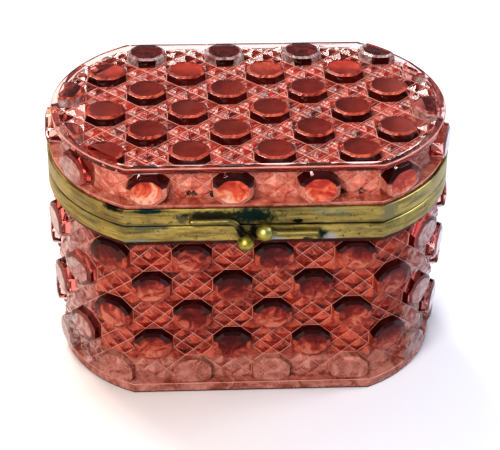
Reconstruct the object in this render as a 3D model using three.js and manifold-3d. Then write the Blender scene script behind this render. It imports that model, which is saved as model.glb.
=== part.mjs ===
import * as THREE from 'three';
import { mergeVertices } from 'three/addons/utils/BufferGeometryUtils.js';
import Module from 'manifold-3d';

// A cut glass jewel casket: a glass box and a glass lid, each held in a brass rim, hinged at the
// back and closed at the front by two small balls that snap past each other.
// Millimetres, Z up. The origin is on the table, under the middle of the box.
// The plan has a straight front and back and an arc at each end.

// Plan of the lid
const LID_FRONT_HALF = 42;
const LID_HALF_DEPTH = 44.9;
const LID_ARC_CENTRE = 16.2;

// Plan of the foot, measured from the plan of the lid
const FOOT_FRONT_INSET = 0.6;
const FOOT_DEPTH_INSET = 3.7;
const FOOT_ARC_SHIFT = 5.3;

// At the ends the cut walls of the body bulge further out than the foot
const WALL_ARC_SHIFT = 7.4;

// The walls of the body lean outward by this much for each millimetre of height
const BODY_DRAFT = 0.037;

// Cut pattern
const FRONT_COLUMNS = 6;
const END_COLUMNS = 7;
const BODY_ROWS = 5;
const LID_ROWS = 6;
const GROOVE_DEPTH = 3.35;
const BUTTON_DROP = 0.15;
const BAND_BUTTON_PROUD = 2;
const BUTTON_FLAT = 0.8;
const STAR_PEAK = 1.5;
const CORNER_PEAK = 1.25;

// Heights, from the table up
const FOOT_BEVEL = 0.8;
const FOOT_HEIGHT = 3.9;
const FOOT_SLOPE = 1.4;
const FIRST_ROW = 1.9;
const ROW_PITCH = 12.2;
const NECK_STRIP = 3.9;
const LOWER_RIM_HEIGHT = 5.7;
const JOINT_GAP = 0.4;
const UPPER_RIM_HEIGHT = 6.3;
const LID_BAND_STEP = 0.6;
const LID_BAND_HEIGHT = 11.6;
const LID_EDGE_HEIGHT = 2.2;
const LID_TOP_GROOVE = 1.4;
const LID_TOP_BUTTON = 3.2;
const LID_MARGIN = 2.5;

// Glass thickness
const FLOOR_THICKNESS = 8;
const WALL_THICKNESS = 3.2;
const LID_THICKNESS = 5.2;
const NECK_THICKNESS = 6;
const INNER_ROUNDING = 2.2;

// How far solids that are joined into one piece reach into each other
const JOIN_DEPTH = 0.3;

// How far a solid that cuts another reaches past it
const OVERCUT = 1;

// Brass rims
const RIM_PROUD = 1.8;
const RIM_WALL = 0.9;
const RIM_WEB = 0.8;
const RIM_LINING = 3.5;
const RIM_BEVEL = 0.3;
const CLEARANCE = 0.35;

// Clasp
const BALL_RADIUS = 2.9;
const BALL_SPACING = 6.1;
const UPPER_BALL_DROP = 4.8;
const LOWER_BALL_DROP = 0.9;
const ARM_RADIUS = 1.1;
const UPPER_ARM_REACH = 18.6;
const LOWER_ARM_REACH = 19.4;
const ARM_OFFSET = 2.45;

// Hinge
const HINGE_LENGTH = 34;
const KNUCKLE_RADIUS = 2.2;
const PIN_RADIUS = 0.8;
const PIN_CLEARANCE = 0.08;
const LEAF_THICKNESS = 0.9;
const LEAF_MARGIN = 0.5;

// How finely the arcs and the round parts are divided
const END_STEPS = 12;
const ROUND_STEPS = 12;
const ROD_STEPS = 8;

// Heights that follow from the sizes above
const JOINT = FIRST_ROW + BODY_ROWS * ROW_PITCH + NECK_STRIP + LOWER_RIM_HEIGHT + JOINT_GAP / 2;
const LOWER_RIM_TOP = JOINT - JOINT_GAP / 2;
const UPPER_RIM_BOTTOM = JOINT + JOINT_GAP / 2;
const UPPER_RIM_TOP = UPPER_RIM_BOTTOM + UPPER_RIM_HEIGHT;
const BODY_TOP = LOWER_RIM_TOP - RIM_WEB - CLEARANCE;
const LID_BOTTOM = UPPER_RIM_BOTTOM + RIM_WEB + CLEARANCE;
const BAND_BOTTOM = UPPER_RIM_TOP + LID_BAND_STEP;
const BAND_TOP = BAND_BOTTOM + LID_BAND_HEIGHT;
const LID_EDGE = BAND_TOP + LID_EDGE_HEIGHT;
const LID_GROOVE = LID_EDGE - LID_TOP_GROOVE;
const LID_WELL = LID_GROOVE - JOIN_DEPTH;
const LID_CEILING = LID_GROOVE - LID_THICKNESS;

// Offsets from the plan of the lid
const NECK_OFFSET = RIM_PROUD - RIM_WALL - CLEARANCE;
const NECK_INNER = NECK_OFFSET - NECK_THICKNESS;
const LINING_OUTER = NECK_INNER - CLEARANCE;
const LINING_INNER = LINING_OUTER - RIM_WEB;
const RIM_FACE = LID_HALF_DEPTH + RIM_PROUD;

const LID_PLAN = { front: LID_FRONT_HALF, depth: LID_HALF_DEPTH, centre: LID_ARC_CENTRE };
const FOOT_PLAN = {
  front: LID_FRONT_HALF - FOOT_FRONT_INSET,
  depth: LID_HALF_DEPTH - FOOT_DEPTH_INSET,
  centre: LID_ARC_CENTRE + FOOT_ARC_SHIFT,
};

const WALL_PLAN = {
  front: FOOT_PLAN.front,
  depth: FOOT_PLAN.depth,
  centre: LID_ARC_CENTRE + WALL_ARC_SHIFT,
};

// Corner share of an octagon whose sides are all equal, in half cells
const OCTAGON = Math.tan(Math.PI / 8);
const DIAMOND = 1 - OCTAGON;

const wasm = await Module();
wasm.setup();

// A plan moved outward by an offset, with the angle that its arcs cover
function offsetPlan(plan, offset) {
  const radius = Math.hypot(plan.front - plan.centre, plan.depth) + offset;
  const depth = plan.depth + offset;
  const front = plan.centre + Math.sqrt(radius * radius - depth * depth);
  return { radius, depth, front, centre: plan.centre, half: Math.atan2(depth, front - plan.centre) };
}

// A point on the outline. Columns run anticlockwise from the left end of the front, and u goes
// from -1 to 1 across a column. A flat point lies on the plane that touches the middle of its column.
function around(plan, offset, column, u, flat = false) {
  const shape = offsetPlan(plan, offset);
  const side = FRONT_COLUMNS + END_COLUMNS;
  const back = column >= side;
  const place = (back ? column - side : column) + (u + 1) / 2;
  const turn = back ? -1 : 1;
  if (place <= FRONT_COLUMNS) {
    return [turn * shape.front * (2 * place / FRONT_COLUMNS - 1), -turn * shape.depth];
  }
  const step = 2 * shape.half / END_COLUMNS;
  const angle = (place - FRONT_COLUMNS) * step - shape.half;
  const middle = (Math.floor(place - FRONT_COLUMNS) + 0.5) * step - shape.half;
  const reach = flat ? shape.radius / Math.cos(angle - middle) : shape.radius;
  return [turn * (shape.centre + reach * Math.cos(angle)), turn * reach * Math.sin(angle)];
}

const COLUMNS = 2 * (FRONT_COLUMNS + END_COLUMNS);

// A plain level: the outline at one height, with points only where the arcs need them
function plainLevel(plan, offset, z) {
  const shape = offsetPlan(plan, offset);
  const level = [];
  for (const turn of [1, -1]) {
    for (let i = 0; i <= END_STEPS; i++) {
      const angle = (2 * i / END_STEPS - 1) * shape.half;
      const x = shape.centre + shape.radius * Math.cos(angle);
      level.push([turn * x, turn * shape.radius * Math.sin(angle), z]);
    }
  }
  return level;
}

// A level that shares its points with the cells above or below it
function cellLevel(plan, offset, z) {
  const level = [];
  for (let column = 0; column < COLUMNS; column++) {
    for (const u of [-1, -OCTAGON, OCTAGON]) {
      level.push([...around(plan, offset, column, u), z]);
    }
  }
  return level;
}

function addQuad(triangles, a, b, c, d) {
  triangles.push([a, b, c], [a, c, d]);
}

function addWalls(triangles, levels) {
  for (let k = 0; k + 1 < levels.length; k++) {
    const low = levels[k];
    const high = levels[k + 1];
    for (let i = 0; i < low.length; i++) {
      const next = (i + 1) % low.length;
      addQuad(triangles, low[i], low[next], high[next], high[i]);
    }
  }
}

function addCap(triangles, level, upward) {
  for (let i = 1; i + 1 < level.length; i++) {
    const corners = [level[0], level[i], level[i + 1]];
    triangles.push(upward ? corners : corners.reverse());
  }
}

function geometryOf(triangles) {
  const geometry = new THREE.BufferGeometry();
  geometry.setAttribute('position', new THREE.Float32BufferAttribute(triangles.flat(2), 3));
  return geometry;
}

function solidFrom(geometry) {
  const plain = geometry.clone();
  plain.deleteAttribute('normal');
  plain.deleteAttribute('uv');
  const merged = mergeVertices(plain, 1e-4);
  return new wasm.Manifold(new wasm.Mesh({
    numProp: 3,
    vertProperties: new Float32Array(merged.attributes.position.array),
    triVerts: new Uint32Array(merged.index.array),
  }));
}

// A closed stack of levels, from the bottom up
function stack(levels) {
  const triangles = [];
  addWalls(triangles, levels);
  addCap(triangles, levels[0], false);
  addCap(triangles, levels[levels.length - 1], true);
  return solidFrom(geometryOf(triangles));
}

// A closed ring with the given profile of offsets and heights, anticlockwise with the outside right
function ringSolid(plan, profile) {
  const triangles = [];
  const levels = profile.map(([offset, z]) => plainLevel(plan, offset, z));
  addWalls(triangles, [...levels, levels[0]]);
  return solidFrom(geometryOf(triangles));
}

// Turns a point of a cell by each quarter turn, so one quarter describes the whole cell
function quarterTurns(point) {
  const [u, w, height] = point;
  return [[u, w, height], [-w, u, height], [-u, -w, height], [w, -u, height]];
}

// The four raised corners that every cell has, shared with its neighbours as one pyramid
function addCorners(add) {
  const low = quarterTurns([1, OCTAGON, 0]);
  const peak = quarterTurns([1, 1, CORNER_PEAK]);
  const high = quarterTurns([OCTAGON, 1, 0]);
  for (let i = 0; i < 4; i++) add(low[i], peak[i], high[i]);
}

// A button: an eight sided block with a flat top, as wide as its cell at the foot
function addButton(add, height) {
  addCorners(add);
  const low = quarterTurns([1, -OCTAGON, 0]);
  const high = quarterTurns([1, OCTAGON, 0]);
  const foot = low.flatMap((start, i) => [start, high[i]]);
  const top = foot.map(([u, w]) => [u * BUTTON_FLAT, w * BUTTON_FLAT, height, true]);
  for (let i = 0; i < 8; i++) {
    const next = (i + 1) % 8;
    add(foot[i], foot[next], top[next]);
    add(foot[i], top[next], top[i]);
    if (i > 0 && i < 7) add(top[0], top[i], top[next]);
  }
}

// A star: a small pyramid in the middle, a plain bar along each diagonal and a facet at each side
function addStar(add) {
  addCorners(add);
  const tips = quarterTurns([DIAMOND, 0, 0]);
  const low = quarterTurns([1, OCTAGON, 0]);
  const high = quarterTurns([OCTAGON, 1, 0]);
  const under = quarterTurns([1, -OCTAGON, 0]);
  const middle = [0, 0, STAR_PEAK];
  for (let i = 0; i < 4; i++) {
    const next = (i + 1) % 4;
    add(middle, tips[i], tips[next]);
    add(under[i], low[i], tips[i]);
    add(tips[i], low[i], high[i]);
    add(tips[i], high[i], tips[next]);
  }
}

// Fills one row of cells round a wall. Buttons and stars take turns along the row and from row to row.
function addWallRow(triangles, row, pointAt, buttonHeight) {
  for (let column = 0; column < COLUMNS; column++) {
    const add = (...corners) => triangles.push(corners.map((corner) => pointAt(column, ...corner)));
    if ((column + row) % 2 === 1) addButton(add, buttonHeight);
    else addStar(add);
  }
}

// The edge of a row of cells, point for point
function rowEdge(pointAt, w) {
  const level = [];
  for (let column = 0; column < COLUMNS; column++) {
    level.push(pointAt(column, -1, w, CORNER_PEAK));
    level.push(pointAt(column, -OCTAGON, w, 0));
    level.push(pointAt(column, OCTAGON, w, 0));
  }
  return level;
}

// Offset of the outside of the body at a height, before anything is cut into it
function bodyFace(z) {
  return BODY_DRAFT * z;
}

function bodyPoint(row) {
  const middle = FIRST_ROW + (row + 0.5) * ROW_PITCH;
  return (column, u, w, height, flat) => {
    const z = middle + w * ROW_PITCH / 2;
    return [...around(WALL_PLAN, bodyFace(z) - GROOVE_DEPTH + height, column, u, flat), z];
  };
}

function bandPoint(column, u, w, height, flat) {
  const z = (BAND_BOTTOM + BAND_TOP) / 2 + w * LID_BAND_HEIGHT / 2;
  return [...around(LID_PLAN, height - GROOVE_DEPTH + BUTTON_DROP, column, u, flat), z];
}

// The glass body: cut walls on a plain foot, with a plain neck that stands inside the lower rim
function glassBody() {
  const triangles = [];
  const inner = FOOT_HEIGHT / 4;
  const rowsTop = FIRST_ROW + BODY_ROWS * ROW_PITCH;
  const lowest = bodyPoint(0);
  const highest = bodyPoint(BODY_ROWS - 1);
  const base = cellLevel(WALL_PLAN, -GROOVE_DEPTH, inner);
  addCap(triangles, base, false);
  addWalls(triangles, [base, rowEdge(lowest, -1)]);
  for (let row = 0; row < BODY_ROWS; row++) {
    addWallRow(triangles, row, bodyPoint(row), GROOVE_DEPTH - BUTTON_DROP);
  }
  const neckFoot = cellLevel(LID_PLAN, NECK_OFFSET, rowsTop + NECK_STRIP / 2);
  const top = cellLevel(LID_PLAN, NECK_OFFSET, BODY_TOP);
  addWalls(triangles, [rowEdge(highest, 1), neckFoot, top]);
  addCap(triangles, top, true);
  const core = solidFrom(geometryOf(triangles));
  const slopeTop = FOOT_HEIGHT + FOOT_SLOPE;
  const foot = stack([
    plainLevel(FOOT_PLAN, -FOOT_BEVEL, 0),
    plainLevel(FOOT_PLAN, bodyFace(FOOT_BEVEL), FOOT_BEVEL),
    plainLevel(FOOT_PLAN, bodyFace(FOOT_HEIGHT), FOOT_HEIGHT),
    plainLevel(FOOT_PLAN, bodyFace(slopeTop) - GROOVE_DEPTH - WALL_THICKNESS / 2, slopeTop),
  ]);
  const inside = -GROOVE_DEPTH - WALL_THICKNESS;
  const wallFoot = FLOOR_THICKNESS + INNER_ROUNDING;
  const wallTop = rowsTop - ROW_PITCH / 2;
  const hollow = stack([
    plainLevel(WALL_PLAN, inside - INNER_ROUNDING, FLOOR_THICKNESS),
    plainLevel(WALL_PLAN, bodyFace(wallFoot) + inside, wallFoot),
    plainLevel(WALL_PLAN, bodyFace(wallTop) + inside, wallTop),
    plainLevel(LID_PLAN, NECK_INNER, rowsTop + NECK_STRIP / 2),
    plainLevel(LID_PLAN, NECK_INNER, BODY_TOP + OVERCUT),
  ]);
  return core.add(foot).subtract(hollow);
}

// The cut top of the lid: a slab of cells, trimmed to the outline inside the margin
function lidTop() {
  const triangles = [];
  const inset = offsetPlan(LID_PLAN, -LID_MARGIN);
  const pitchX = 2 * LID_FRONT_HALF / FRONT_COLUMNS;
  const pitchY = 2 * inset.depth / LID_ROWS;
  const perSide = Math.ceil((inset.centre + inset.radius) / pitchX);
  const under = LID_WELL - JOIN_DEPTH / 2;
  const pointAt = (column, row) => (u, w, height) => [
    (column + (u + 1) / 2) * pitchX,
    (row + (w + 1) / 2) * pitchY - LID_ROWS * pitchY / 2,
    LID_GROOVE + height,
  ];
  for (let column = -perSide; column < perSide; column++) {
    for (let row = 0; row < LID_ROWS; row++) {
      const place = pointAt(column, row);
      const add = (...corners) => triangles.push(corners.map((corner) => place(...corner)));
      const button = ((column + row) % 2 + 2) % 2 === 0;
      if (button) addButton(add, LID_TOP_BUTTON);
      else addStar(add);
    }
  }
  const edge = [];
  for (let column = -perSide; column < perSide; column++) {
    for (const u of [-1, -OCTAGON, OCTAGON]) edge.push(pointAt(column, 0)(u, -1, u === -1 ? CORNER_PEAK : 0));
  }
  for (let row = 0; row < LID_ROWS; row++) {
    for (const w of [-1, -OCTAGON, OCTAGON]) {
      edge.push(pointAt(perSide - 1, row)(1, w, w === -1 ? CORNER_PEAK : 0));
    }
  }
  const half = edge.length;
  for (let i = 0; i < half; i++) edge.push([-edge[i][0], -edge[i][1], edge[i][2]]);
  const bottom = edge.map(([x, y]) => [x, y, under]);
  addWalls(triangles, [bottom, edge]);
  addCap(triangles, bottom, false);
  const trim = stack([
    plainLevel(LID_PLAN, JOIN_DEPTH / 2 - LID_MARGIN, under - OVERCUT),
    plainLevel(LID_PLAN, JOIN_DEPTH / 2 - LID_MARGIN, LID_EDGE + LID_TOP_BUTTON),
  ]);
  return solidFrom(geometryOf(triangles)).intersect(trim);
}

// The glass lid: a plain neck inside the upper rim, one row of cells and the cut top
function glassLid() {
  const triangles = [];
  const bottom = cellLevel(LID_PLAN, NECK_OFFSET, LID_BOTTOM);
  const step = cellLevel(LID_PLAN, NECK_OFFSET, BAND_BOTTOM - LID_BAND_STEP / 2);
  addCap(triangles, bottom, false);
  addWalls(triangles, [bottom, step, rowEdge(bandPoint, -1)]);
  addWallRow(triangles, BODY_ROWS, bandPoint, GROOVE_DEPTH - BUTTON_DROP + BAND_BUTTON_PROUD);
  const upper = [
    rowEdge(bandPoint, 1),
    cellLevel(LID_PLAN, 0, BAND_TOP + JOIN_DEPTH),
    cellLevel(LID_PLAN, 0, LID_EDGE),
    cellLevel(LID_PLAN, -LID_MARGIN - JOIN_DEPTH, LID_EDGE),
    cellLevel(LID_PLAN, -LID_MARGIN - JOIN_DEPTH, LID_WELL),
  ];
  addWalls(triangles, upper);
  addCap(triangles, upper[upper.length - 1], true);
  const shell = solidFrom(geometryOf(triangles));
  const inside = -GROOVE_DEPTH - WALL_THICKNESS;
  const hollow = stack([
    plainLevel(LID_PLAN, NECK_INNER, LID_BOTTOM - OVERCUT),
    plainLevel(LID_PLAN, NECK_INNER, BAND_BOTTOM - LID_BAND_STEP),
    plainLevel(LID_PLAN, inside, BAND_BOTTOM + INNER_ROUNDING),
    plainLevel(LID_PLAN, inside, LID_CEILING - INNER_ROUNDING),
    plainLevel(LID_PLAN, inside - INNER_ROUNDING, LID_CEILING),
  ]);
  return shell.add(lidTop()).subtract(hollow);
}

// A rim: an outer wall, a web over the edge of the glass and a lining on the inside.
// At the joint the web faces the other rim. The profile is written for the lower rim, and the
// upper one needs it in the other direction because its heights are mirrored.
function rim(joint, away, height) {
  const z = (distance) => joint + away * distance;
  const outer = RIM_PROUD;
  const profile = [
    [outer, z(height)],
    [outer, z(RIM_BEVEL)],
    [outer - RIM_BEVEL, z(0)],
    [LINING_INNER, z(0)],
    [LINING_INNER, z(RIM_LINING)],
    [LINING_OUTER, z(RIM_LINING)],
    [LINING_OUTER, z(RIM_WEB)],
    [outer - RIM_WALL, z(RIM_WEB)],
    [outer - RIM_WALL, z(height)],
  ];
  return ringSolid(LID_PLAN, away < 0 ? profile : profile.reverse());
}

// A round rod along a path, each point with its own radius
function rod(path) {
  const points = path.map(([x, y, z]) => new THREE.Vector3(x, y, z));
  const triangles = [];
  const levels = points.map((point, i) => {
    const before = points[Math.max(i - 1, 0)];
    const after = points[Math.min(i + 1, points.length - 1)];
    const along = after.clone().sub(before).normalize();
    const across = new THREE.Vector3(0, 1, 0).cross(along).normalize();
    const out = along.clone().cross(across);
    const level = [];
    for (let k = 0; k < ROD_STEPS; k++) {
      const angle = 2 * Math.PI * k / ROD_STEPS;
      const corner = point.clone();
      corner.addScaledVector(across, path[i][3] * Math.cos(angle));
      corner.addScaledVector(out, path[i][3] * Math.sin(angle));
      level.push(corner.toArray());
    }
    return level;
  });
  addWalls(triangles, levels);
  addCap(triangles, levels[0], false);
  addCap(triangles, levels[levels.length - 1], true);
  return solidFrom(geometryOf(triangles));
}

function ball(x, y, z) {
  const sphere = new THREE.SphereGeometry(BALL_RADIUS, ROUND_STEPS, ROUND_STEPS / 2);
  sphere.translate(x, y, z);
  return solidFrom(sphere);
}

// One half of the clasp: a rod lying on its rim, bent out into a ball
function claspArm(side, armHeight, ballHeight, reach, tip) {
  const armY = -(RIM_FACE + CLEARANCE + ARM_RADIUS);
  const ballY = -(RIM_FACE + CLEARANCE + BALL_RADIUS);
  const ballX = side * BALL_SPACING / 2;
  const bendX = ballX + side * 2 * ARM_RADIUS;
  const midY = (armY + ballY) / 2;
  const midZ = (armHeight + ballHeight) / 2;
  const path = [
    [ballX + side * reach, armY, armHeight, tip],
    [ballX + side * (reach - ARM_RADIUS), armY, armHeight, ARM_RADIUS],
    [bendX + side * ARM_RADIUS * 3, armY, armHeight, ARM_RADIUS],
    [bendX + side * ARM_RADIUS, armY, armHeight + (midZ - armHeight) * 0.3, ARM_RADIUS],
    [bendX - side * ARM_RADIUS * 0.6, midY, midZ, ARM_RADIUS],
    [ballX, ballY, ballHeight, ARM_RADIUS * 0.8],
  ];
  return rod(path).add(ball(ballX, ballY, ballHeight));
}

const HINGE_Y = RIM_FACE + CLEARANCE + KNUCKLE_RADIUS;

function box(x0, x1, y0, y1, z0, z1) {
  const block = new THREE.BoxGeometry(x1 - x0, y1 - y0, z1 - z0);
  block.translate((x0 + x1) / 2, (y0 + y1) / 2, (z0 + z1) / 2);
  return solidFrom(block);
}

// A round bar along the hinge line
function bar(x0, x1, radius) {
  const cylinder = new THREE.CylinderGeometry(radius, radius, x1 - x0, ROUND_STEPS);
  cylinder.rotateZ(Math.PI / 2);
  cylinder.translate((x0 + x1) / 2, HINGE_Y, JOINT);
  return solidFrom(cylinder);
}

// A leaf on the back of its rim, with straps up to its knuckles and a bore for the pin
function hingeLeaf(direction, rimHeight, spans) {
  const inner = RIM_FACE + CLEARANCE;
  const near = JOINT + direction * (KNUCKLE_RADIUS + LEAF_MARGIN);
  const far = JOINT + direction * (JOINT_GAP / 2 + rimHeight - LEAF_MARGIN);
  const low = Math.min(near, far);
  const high = Math.max(near, far);
  let leaf = box(-HINGE_LENGTH / 2, HINGE_LENGTH / 2, inner, inner + LEAF_THICKNESS, low, high);
  for (const [x0, x1] of spans) {
    const strapLow = direction > 0 ? JOINT : (low + high) / 2;
    const strapHigh = direction > 0 ? (low + high) / 2 : JOINT;
    leaf = leaf.add(box(x0, x1, inner, inner + LEAF_THICKNESS, strapLow, strapHigh));
    leaf = leaf.add(bar(x0, x1, KNUCKLE_RADIUS));
    leaf = leaf.subtract(bar(x0 - OVERCUT, x1 + OVERCUT, PIN_RADIUS + PIN_CLEARANCE));
  }
  return leaf;
}

const KNUCKLE_EDGE = HINGE_LENGTH / 6;

const brass = { color: '#a8924e', roughness: 0.42, metalness: 0.9 };
const brightBrass = { color: '#c2aa3e', roughness: 0.28, metalness: 0.95 };
const redGlass = { color: '#b0483f', roughness: 0.08, metalness: 0 };

const group = new THREE.Group();
group.name = 'jewel_casket';

function addPiece(name, solid, finish) {
  const mesh = solid.getMesh();
  const geometry = new THREE.BufferGeometry();
  geometry.setAttribute('position', new THREE.BufferAttribute(new Float32Array(mesh.vertProperties), 3));
  geometry.setIndex(new THREE.BufferAttribute(new Uint32Array(mesh.triVerts), 1));
  const flat = geometry.toNonIndexed();
  flat.computeVertexNormals();
  const piece = new THREE.Mesh(flat, new THREE.MeshStandardMaterial({ ...finish }));
  piece.name = name;
  group.add(piece);
}

addPiece('glass_body', glassBody(), redGlass);
addPiece('glass_lid', glassLid(), redGlass);
addPiece('lower_rim', rim(LOWER_RIM_TOP, -1, LOWER_RIM_HEIGHT), brass);
addPiece('upper_rim', rim(UPPER_RIM_BOTTOM, 1, UPPER_RIM_HEIGHT), brass);

const upperBall = JOINT - UPPER_BALL_DROP;
const lowerBall = JOINT - LOWER_BALL_DROP;
addPiece('clasp_upper_arm',
  claspArm(-1, JOINT + ARM_OFFSET, upperBall, UPPER_ARM_REACH, ARM_RADIUS * 0.7), brightBrass);
addPiece('clasp_lower_arm',
  claspArm(1, JOINT - ARM_OFFSET, lowerBall, LOWER_ARM_REACH, ARM_RADIUS * 0.4), brightBrass);

const knuckleGap = CLEARANCE / 2;
addPiece('hinge_lower_leaf', hingeLeaf(-1, LOWER_RIM_HEIGHT, [
  [-HINGE_LENGTH / 2, -KNUCKLE_EDGE - knuckleGap],
  [KNUCKLE_EDGE + knuckleGap, HINGE_LENGTH / 2],
]), brass);
addPiece('hinge_upper_leaf', hingeLeaf(1, UPPER_RIM_HEIGHT, [
  [-KNUCKLE_EDGE + knuckleGap, KNUCKLE_EDGE - knuckleGap],
]), brass);
addPiece('hinge_pin', bar(-HINGE_LENGTH / 2 - CLEARANCE, HINGE_LENGTH / 2 + CLEARANCE, PIN_RADIUS), brass);

export default group;
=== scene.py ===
# %% [markdown]
# # A cut glass jewel casket
# The casket is a thick glass box with a glass lid. Both are cut all over in a chequered pattern of
# eight sided buttons and small stars, and the red colour is only a stain on the inside. Two brass
# rims hold the glass and meet at the joint, with a clasp of two balls in front and a hinge behind.
# Everything here is in metres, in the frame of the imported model, so each piece is made in place.

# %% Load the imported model
import math

import bmesh
import bpy
from mathutils import Matrix, Vector


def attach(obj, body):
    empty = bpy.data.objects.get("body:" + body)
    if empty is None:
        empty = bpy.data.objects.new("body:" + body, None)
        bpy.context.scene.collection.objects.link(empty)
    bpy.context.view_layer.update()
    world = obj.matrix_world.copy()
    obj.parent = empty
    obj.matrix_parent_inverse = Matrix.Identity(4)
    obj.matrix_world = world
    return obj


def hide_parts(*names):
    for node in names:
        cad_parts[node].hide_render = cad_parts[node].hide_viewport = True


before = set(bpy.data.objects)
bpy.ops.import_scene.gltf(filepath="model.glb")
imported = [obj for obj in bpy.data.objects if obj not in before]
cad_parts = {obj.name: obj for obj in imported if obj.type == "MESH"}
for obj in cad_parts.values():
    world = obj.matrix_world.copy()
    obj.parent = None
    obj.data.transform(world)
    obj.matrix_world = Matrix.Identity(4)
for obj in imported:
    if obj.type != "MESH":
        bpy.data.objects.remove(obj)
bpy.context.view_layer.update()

MM = 0.001

# %% [markdown]
# ## The camera
# The photo was taken from slightly above with a long lens. A camera could be turned by eye until the
# picture looks right, but here its place was found by fitting it to the buttons and rims that the
# photo shows. It comes first, so that every later test render has the right frame.

# %% Camera at the photo's viewing angle
FOCAL_PIXELS = 1721.8
PHOTO_WIDTH = 500
FILM_WIDTH = 36
NEAREST = 0.05
CAMERA_PLACE = Vector((-28.5, -522.2, 376.1)) * MM
TURN = math.radians(3.238)
DOWN = math.radians(32.493)
ROLL = math.radians(0.654)


def camera_turn(turn, down, roll):
    """The rotation of a camera that looks along +Y, turned right, tilted down and rolled."""
    ahead = Vector((math.sin(turn) * math.cos(down), math.cos(turn) * math.cos(down), -math.sin(down)))
    level = Vector((math.cos(turn), -math.sin(turn), 0))
    upward = level.cross(ahead)
    right = level * math.cos(roll) + upward * math.sin(roll)
    top = upward * math.cos(roll) - level * math.sin(roll)
    return Matrix((right, top, -ahead)).transposed()


camera = bpy.data.objects.new("camera", bpy.data.cameras.new("camera"))
camera.data.sensor_width = FILM_WIDTH
camera.data.lens = FOCAL_PIXELS / PHOTO_WIDTH * FILM_WIDTH
camera.data.clip_start = NEAREST
camera.location = CAMERA_PLACE
camera.rotation_euler = camera_turn(TURN, DOWN, ROLL).to_euler()
bpy.context.collection.objects.link(camera)
bpy.context.scene.camera = camera
print("lens", round(camera.data.lens, 1), "mm")

# %% [markdown]
# ## The plan
# Seen from above, the walls, the lid and the rims all follow one kind of outline: a straight front
# and back, and an arc at each end. Each piece could have a curve of its own, but the curves would
# have to be matched by hand. So one function gives the outline, and a place on it is counted in
# columns of the cut pattern: the same number finds the same spot on the glass and on the brass.

# %% The outline and places on it
FRONT_COLUMNS = 6
END_COLUMNS = 7
COLUMNS = 2 * (FRONT_COLUMNS + END_COLUMNS)
BACK_MIDDLE = FRONT_COLUMNS + END_COLUMNS + FRONT_COLUMNS // 2

LID_PLAN = {"front": 42 * MM, "depth": 44.9 * MM, "centre": 16.2 * MM}
FOOT_PLAN = {"front": 41.4 * MM, "depth": 41.2 * MM, "centre": 21.5 * MM}
WALL_PLAN = {"front": 41.4 * MM, "depth": 41.2 * MM, "centre": 23.6 * MM}


def offset_plan(plan, offset):
    """The outline moved outward, with the radius and the half angle of its arcs."""
    radius = math.hypot(plan["front"] - plan["centre"], plan["depth"]) + offset
    depth = plan["depth"] + offset
    front = plan["centre"] + math.sqrt(radius ** 2 - depth ** 2)
    half = math.atan2(depth, front - plan["centre"])
    return {"radius": radius, "depth": depth, "front": front, "centre": plan["centre"], "half": half}


def around(plan, offset, place, middle=None):
    """The point at a place on the outline. With middle, it lies on the plane that touches there."""
    shape = offset_plan(plan, offset)
    side = FRONT_COLUMNS + END_COLUMNS
    place = place % COLUMNS
    turn = 1
    if place > side:
        place, turn = place - side, -1
    if place <= FRONT_COLUMNS:
        return Vector((turn * shape["front"] * (2 * place / FRONT_COLUMNS - 1), -turn * shape["depth"]))
    step = 2 * shape["half"] / END_COLUMNS
    angle = (place - FRONT_COLUMNS) * step - shape["half"]
    reach = shape["radius"]
    if middle is not None:
        reach /= math.cos(angle - ((middle % side - FRONT_COLUMNS) * step - shape["half"]))
    return Vector((turn * (shape["centre"] + reach * math.cos(angle)), turn * reach * math.sin(angle)))


def place_of(plan, offset, point):
    """The place on the outline that a point of it has."""
    shape = offset_plan(plan, offset)
    side = FRONT_COLUMNS + END_COLUMNS
    if abs(point.x) <= shape["front"]:
        turn = 1 if point.y < 0 else -1
        place = (turn * point.x / shape["front"] + 1) / 2 * FRONT_COLUMNS
    else:
        turn = 1 if point.x > 0 else -1
        angle = math.atan2(turn * point.y, turn * point.x - shape["centre"])
        place = FRONT_COLUMNS + (angle / shape["half"] + 1) / 2 * END_COLUMNS
    return (place + (side if turn < 0 else 0)) % COLUMNS


print("lid is", round(2000 * around(LID_PLAN, 0, FRONT_COLUMNS + END_COLUMNS / 2).x, 1), "mm long")

# %% [markdown]
# ## Helpers for node trees
# Materials and Geometry Nodes are both trees of nodes. They could be drawn by hand in the editor, but
# a script keeps every number in sight. Two small helpers keep it short: one adds a node and fills
# its inputs, and one does a sum with a Math node.

# %% A node and a sum
def add_node(tree, kind, inputs=None, **settings):
    """Adds a node, sets its options, and fills its inputs with values or with links."""
    node = tree.nodes.new(kind)
    for name, value in settings.items():
        setattr(node, name, value)
    for key, value in (inputs or {}).items():
        if isinstance(value, bpy.types.NodeSocket):
            tree.links.new(value, node.inputs[key])
        else:
            node.inputs[key].default_value = value
    return node


def sum_of(tree, operation, first, second=0.0, clamp=False):
    """One Math node, as its output socket."""
    node = add_node(tree, "ShaderNodeMath", {0: first, 1: second}, operation=operation)
    node.use_clamp = clamp
    return node.outputs[0]


print("helpers for node trees:", add_node.__name__, sum_of.__name__)

# %% [markdown]
# ## The cells of the cut pattern
# On the real glass a wheel cuts crossing grooves, which leave raised buttons, small pyramids and
# bars. Boolean modifiers could cut the grooves, but hundreds of cuts are slow and leave thin slivers.
# So one button cell and one star cell are modelled face by face, on a square that is two units wide.
# Both look the same after a quarter turn, so only a quarter of their points is written down.

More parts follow.
